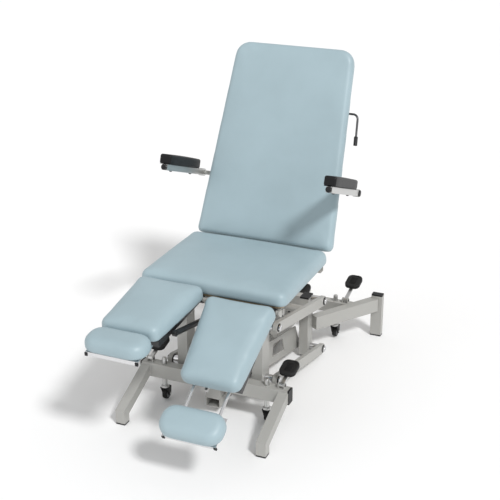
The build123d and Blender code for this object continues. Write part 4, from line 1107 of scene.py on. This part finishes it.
@dataclass
class ArmrestTrim:
    """The armrests' front plugs, pad bolts, pivot caps and pad plates."""

    finishes: Finishes
    length: float = 0.375
    bar: float = 0.025
    bar_x: float = 0.355
    pad_middle: float = 0.231
    bolt_places: tuple[float, float] = (0.125, 0.315)

    def plug(self, side: str, place: Matrix) -> None:
        """The domed plug in the bar's front end."""
        plug = Blank(f"armrest_plug_{side}")
        plug.turned([(0.0, 0.0), (0.0123, 0.0), (0.0126, 0.0012), (0.0126, 0.0075), (0.0112, 0.0100),
                     (0.0070, 0.0114), (0.0, 0.0118)], place @ shifted(0.0, -self.length, 0.0) @ FACING_FRONT, 40)
        plug.done(self.finishes.plastic, f"armrest_{side}", Slot.PLASTIC)

    def bolts(self, side: str, place: Matrix) -> None:
        """The bolt heads under the bar, which hold the pad."""
        bolts = Blank(f"armrest_bolts_{side}")
        for along in self.bolt_places:
            bolts.bolt(0.0058, place @ shifted(0.0, -along, -self.bar / 2) @ FACING_DOWN)
        bolts.done(self.finishes.dark_steel, f"armrest_{side}", Slot.ZINC)

    def pivot_cap(self, side: str, pivot: Vector) -> None:
        """The cap on the pivot's outer end."""
        sign = SIDES[side]
        cap = Blank(f"armrest_pivot_cap_{side}")
        cap.knob(0.0135, 0.004, aimed((sign * (self.bar_x + self.bar / 2), pivot.y, pivot.z), (sign, 0, 0)), 0.0015)
        cap.done(self.finishes.plastic, f"armrest_{side}", Slot.PLASTIC)

    def pad_plate(self, side: str, place: Matrix) -> None:
        """The thin plate between the bar and the pad."""
        plate = Blank(f"armrest_pad_plate_{side}")
        plate.block((0.047, 0.290, 0.0022), place @ shifted(0.0, -self.pad_middle, self.bar / 2 + 0.0008), 0.0006, 2)
        plate.done(self.finishes.plastic, f"armrest_{side}", Slot.PLASTIC)

    def build(self) -> None:
        """Make both sides."""
        for side in SIDES:
            pivot = joint_at(f"armrest_raise_{side}")
            place = tilted(pivot, ARMREST_ANGLE)
            self.plug(side, place)
            self.bolts(side, place)
            self.pivot_cap(side, pivot)
            self.pad_plate(side, place)


@dataclass
class BackTrim:
    """What is fixed to the backrest: the lever's grip, the cover's hem, its staples and screws."""

    finishes: Finishes
    lever_x: float = 0.314
    lever_lean: float = 0.008
    lever_drop: float = 0.104
    grip_ribs: int = 8
    rib_pitch: float = 0.0036
    hem_corners: tuple[tuple[float, float], ...] = ((-0.276, 0.047), (0.276, 0.047), (0.238, 0.838), (-0.238, 0.838))
    hem_gap: float = 0.06
    staple_pitch: float = 0.038
    screw_places: tuple[float, ...] = (0.09, 0.33, 0.52, 0.70)

    def place(self) -> Matrix:
        """The backrest's own frame."""
        return tilted(joint_at("recline"), BACK_ANGLE)

    def grip(self) -> None:
        """The ribbed grip on the recline lever."""
        rise = math.radians(BACK_ANGLE)
        down = Vector((self.lever_lean, -self.lever_drop * math.cos(rise), -self.lever_drop * math.sin(rise)))
        foot = joint_at("recline_lever_pull")
        end = Vector((self.lever_x, foot.y + down.y, foot.z + down.z))
        profile = [(0.0046, -0.012), (0.0072, -0.0115), (0.0084, -0.009)]
        for rib in range(self.grip_ribs):
            place = -0.006 + rib * self.rib_pitch
            profile += [(0.0086, place), (0.0080, place + 0.0012), (0.0080, place + 0.0022), (0.0086, place + 0.0034)]
        profile += [(0.0085, 0.0240), (0.0070, 0.0262), (0.0, 0.0268)]
        grip = Blank("recline_grip")
        grip.turned(profile, aimed(end, down.normalized()), 32)
        grip.done(self.finishes.plastic, "recline_lever", Slot.PLASTIC)

    def hem(self) -> None:
        """The cover's folded edge on the board's back, with its staples."""
        hem, staples = Blank("backrest_hem"), Blank("backrest_staples")
        for (x0, y0), (x1, y1) in zip(self.hem_corners, self.hem_corners[1:] + self.hem_corners[:1]):
            run = Vector((x1 - x0, y1 - y0, 0.0))
            strip = (self.place() @ shifted((x0 + x1) / 2, (y0 + y1) / 2, 0.0146)
                     @ Matrix.Rotation(math.atan2(run.y, run.x), 4, "Z"))
            length = run.length - self.hem_gap
            hem.block((length, 0.011, 0.0010), strip, 0.0004, 2)
            count = int(length / self.staple_pitch)
            for k in range(count):
                along = (k - (count - 1) / 2) * self.staple_pitch
                staples.block((0.010, 0.0013, 0.0008), strip @ shifted(along, 0.0, -0.0007))
        hem.done(self.finishes.vinyl, "backrest", Slot.VINYL)
        staples.done(self.finishes.bright, "backrest", Slot.BRIGHT)

    def screws(self) -> None:
        """Pan-head screws through the frame into the board, and caps on the hinge pins."""
        screws = Blank("backrest_screws")
        for sign in SIDES.values():
            for along in self.screw_places:
                screws.bolt(0.0048, self.place() @ shifted(sign * 0.218, along, -0.010) @ FACING_DOWN)
        screws.done(self.finishes.dark_steel, "backrest", Slot.ZINC)
        caps = Blank("backrest_hinge_caps")
        pivot = joint_at("recline")
        for sign in SIDES.values():
            caps.knob(0.0125, 0.003, aimed((sign * 0.2462, pivot.y, pivot.z), (sign, 0, 0)), 0.001)
        caps.done(self.finishes.dark_steel, "carriage", Slot.ZINC)

    def build(self) -> None:
        """Make it all."""
        self.grip()
        self.hem()
        self.screws()


@dataclass
class LegTrim:
    """The foot rests' corner guards, the rods' plugs, and the fittings of the leg sections."""

    finishes: Finishes
    rod_x: float = 0.070
    rod_out: float = 0.004
    rod_start: float = 0.130
    plate_end: float = 0.502
    guard_x: float = 0.1015
    rail_x: float = 0.105
    screw_places: tuple[float, ...] = (0.06, 0.19, 0.30)

    def guards(self, side: str) -> None:
        """A guard on each front corner of the foot plate."""
        guards = Blank(f"foot_rest_guards_{side}")
        lip = -(self.plate_end + FOOT_REST_PULL[side])
        for edge in SIDES.values():
            guards.block((0.012, 0.0075, 0.0150),
                         leg_place(side) @ shifted(edge * self.guard_x, lip + 0.0012, 0.0062), 0.0018, 3)
        guards.done(self.finishes.plastic, f"foot_rest_{side}", Slot.PLASTIC)

    def rod_plugs(self, side: str) -> None:
        """A plug in the inner end of each foot rest rod."""
        plugs = Blank(f"foot_rod_plugs_{side}")
        end = -(self.rod_start + FOOT_REST_PULL[side])
        for edge in SIDES.values():
            plugs.knob(0.0058, 0.003, leg_place(side) @ shifted(edge * self.rod_x, end, self.rod_out) @ FACING_BACK,
                       0.0012)
        plugs.done(self.finishes.plastic, f"foot_rest_{side}", Slot.PLASTIC)

    def screws(self, side: str) -> None:
        """Screws up through the rails into the cushion's board."""
        screws = Blank(f"leg_screws_{side}")
        for edge in SIDES.values():
            for along in self.screw_places:
                screws.bolt(0.0044, leg_place(side) @ shifted(edge * self.rail_x, -along, -0.008) @ FACING_DOWN)
        screws.done(self.finishes.dark_steel, f"leg_{side}", Slot.ZINC)

    def bushes(self, side: str) -> None:
        """A bush round each rod on both faces of its guide."""
        bushes = Blank(f"leg_guide_bushes_{side}")
        for edge in SIDES.values():
            for face, facing in ((-0.3562, FACING_FRONT), (-0.3278, FACING_BACK)):
                bushes.turned([(0.0062, 0.0), (0.0098, 0.0), (0.0094, 0.0022), (0.0062, 0.0026), (0.0062, 0.0)],
                              leg_place(side) @ shifted(edge * self.rod_x, face, self.rod_out) @ facing, 32)
        bushes.done(self.finishes.plastic, f"leg_{side}", Slot.PLASTIC)

    def build(self) -> None:
        """Make both legs' trim."""
        for side in SIDES:
            self.guards(side)
            self.rod_plugs(side)
            self.screws(side)
            self.bushes(side)


@dataclass
class Welds:
    """The weld beads where the base's and the carriage's tubes meet."""

    finishes: Finishes
    radius: float = 0.0022

    def box_seam(self, blank: Blank, x: Sequence[float], y: float, z: Sequence[float]) -> None:
        """A seam round a tube that meets a face across Y.

        Args:
            blank: The mesh to add to.
            x: The tube's sides.
            y: The face, behind the front feet, in metres.
            z: The tube's underside and top.
        """
        corners = [(x[0], y, z[0]), (x[1], y, z[0]), (x[1], y, z[1]), (x[0], y, z[1])]
        for start, end in zip(corners, corners[1:] + corners[:1]):
            self.seam(blank, start, end)

    def seam(self, blank: Blank, start: Point, end: Point) -> None:
        """One straight seam between two points, their Y counted from the front feet."""
        blank.bead((start[0], FRONT + start[1], start[2]), (end[0], FRONT + end[1], end[2]), self.radius)

    def base(self) -> None:
        """The seams of the front legs, the rear uprights and the spine."""
        blank = Blank("base_welds")
        for sign in SIDES.values():
            self.box_seam(blank, (sign * 0.280, sign * 0.320), 0.224, (0.116, 0.160))
            self.seam(blank, (sign * 0.181, 0.8805, 0.128), (sign * 0.181, 0.8805, 0.184))
            for y in (0.224, 1.036):
                self.seam(blank, (sign * 0.030, y, 0.071), (sign * 0.030, y + 0.040, 0.071))
        blank.done(self.finishes.frame, "base", Slot.FRAME, smooth=60.0)

    def carriage(self) -> None:
        """The seams of the cross beams, the uprights' tops and the seat frame."""
        blank = Blank("carriage_welds")
        for sign in SIDES.values():
            for low, high in ((0.200, 0.240), (0.440, 0.480)):
                for y in (0.304, 0.344):
                    self.seam(blank, (sign * 0.142, y, low), (sign * 0.142, y, high))
            for y in (0.289, 0.361):
                self.seam(blank, (sign * 0.145, y, 0.484), (sign * 0.183, y, 0.484))
            self.box_seam(blank, (sign * 0.145, sign * 0.183), 0.255, (0.486, 0.512))
        blank.done(self.finishes.frame, "carriage", Slot.FRAME, smooth=60.0)

    def build(self) -> None:
        """Lay every seam."""
        self.base()
        self.carriage()


# ---- the studio -----------------------------------------------------------------------------
@dataclass
class Studio:
    """A pale floor, soft light and the camera."""

    azimuth: float = 23.2
    elevation: float = 22.3
    lens: float = 81.07
    camera_at: tuple[float, float, float] = (1.690, -3.343 + FRONT, 2.328)
    sky: float = 0.62

    def camera(self) -> None:
        """Set up the camera."""
        data = bpy.data.cameras.new("camera")
        data.lens, data.sensor_width = self.lens, 36.0
        eye = bpy.data.objects.new("camera", data)
        bpy.context.scene.collection.objects.link(eye)
        a, e = math.radians(self.azimuth), math.radians(self.elevation)
        ahead = Vector((-math.sin(a) * math.cos(e), math.cos(a) * math.cos(e), -math.sin(e)))
        eye.location = self.camera_at
        eye.rotation_mode = "QUATERNION"
        eye.rotation_quaternion = ahead.to_track_quat("-Z", "Y")
        bpy.context.scene.camera = eye

    def floor(self, finish: bpy.types.Material) -> None:
        """Lay the floor."""
        bm = bmesh.new()
        bmesh.ops.create_grid(bm, x_segments=2, y_segments=2, size=60.0)
        mesh = bpy.data.meshes.new("floor")
        bm.to_mesh(mesh)
        bm.free()
        mesh.materials.append(finish)
        ground = bpy.data.objects.new("floor", mesh)
        bpy.context.scene.collection.objects.link(ground)

    def sun(self, name: str, azimuth: float, elevation: float, spread: float, strength: float) -> None:
        """Hang one soft distant lamp that faces the chair.

        Args:
            name: The lamp's name.
            azimuth: Where it stands round the chair, as the camera's is measured.
            elevation: Its height, in degrees.
            spread: Its apparent width, in degrees, which softens its shadows.
            strength: Its strength.
        """
        data = bpy.data.lights.new(name, "SUN")
        data.angle, data.energy = math.radians(spread), strength
        lamp = bpy.data.objects.new(name, data)
        bpy.context.scene.collection.objects.link(lamp)
        a, e = math.radians(azimuth), math.radians(elevation)
        back = Vector((math.sin(a) * math.cos(e), -math.cos(a) * math.cos(e), math.sin(e)))
        lamp.location = Vector((0.0, 0.0, 0.6)) + back * 5.0
        lamp.rotation_mode = "QUATERNION"
        lamp.rotation_quaternion = (-back).to_track_quat("-Z", "Y")

    def light(self) -> None:
        """Set the world and the lamps."""
        world = bpy.data.worlds.new("studio")
        world.use_nodes = True
        sky = world.node_tree.nodes["Background"]
        sky.inputs["Color"].default_value = (1.0, 1.0, 1.0, 1.0)
        sky.inputs["Strength"].default_value = self.sky
        bpy.context.scene.world = world
        bpy.context.scene.view_settings.view_transform = "Standard"
        self.sun("key", 54.0, 46.0, 9.0, 2.1)
        self.sun("fill", -40.0, 35.0, 40.0, 0.2)

    def build(self, finishes: Finishes) -> None:
        """Put up the whole studio."""
        self.camera()
        self.floor(finishes.floor)
        self.light()


def main() -> None:
    """Build the chair's looks in order."""
    logging.basicConfig(level=logging.INFO, format="%(name)s: %(message)s")
    finishes = Finishes()
    Studio().build(finishes)
    finishes.dress_cad()
    Upholstery(finishes).build()
    for part in (Castors, Pedals, LiftTrim, StrutTrim, ArmrestTrim, BackTrim, LegTrim, Welds):
        part(finishes).build()


if __name__ == "__main__":
    main()
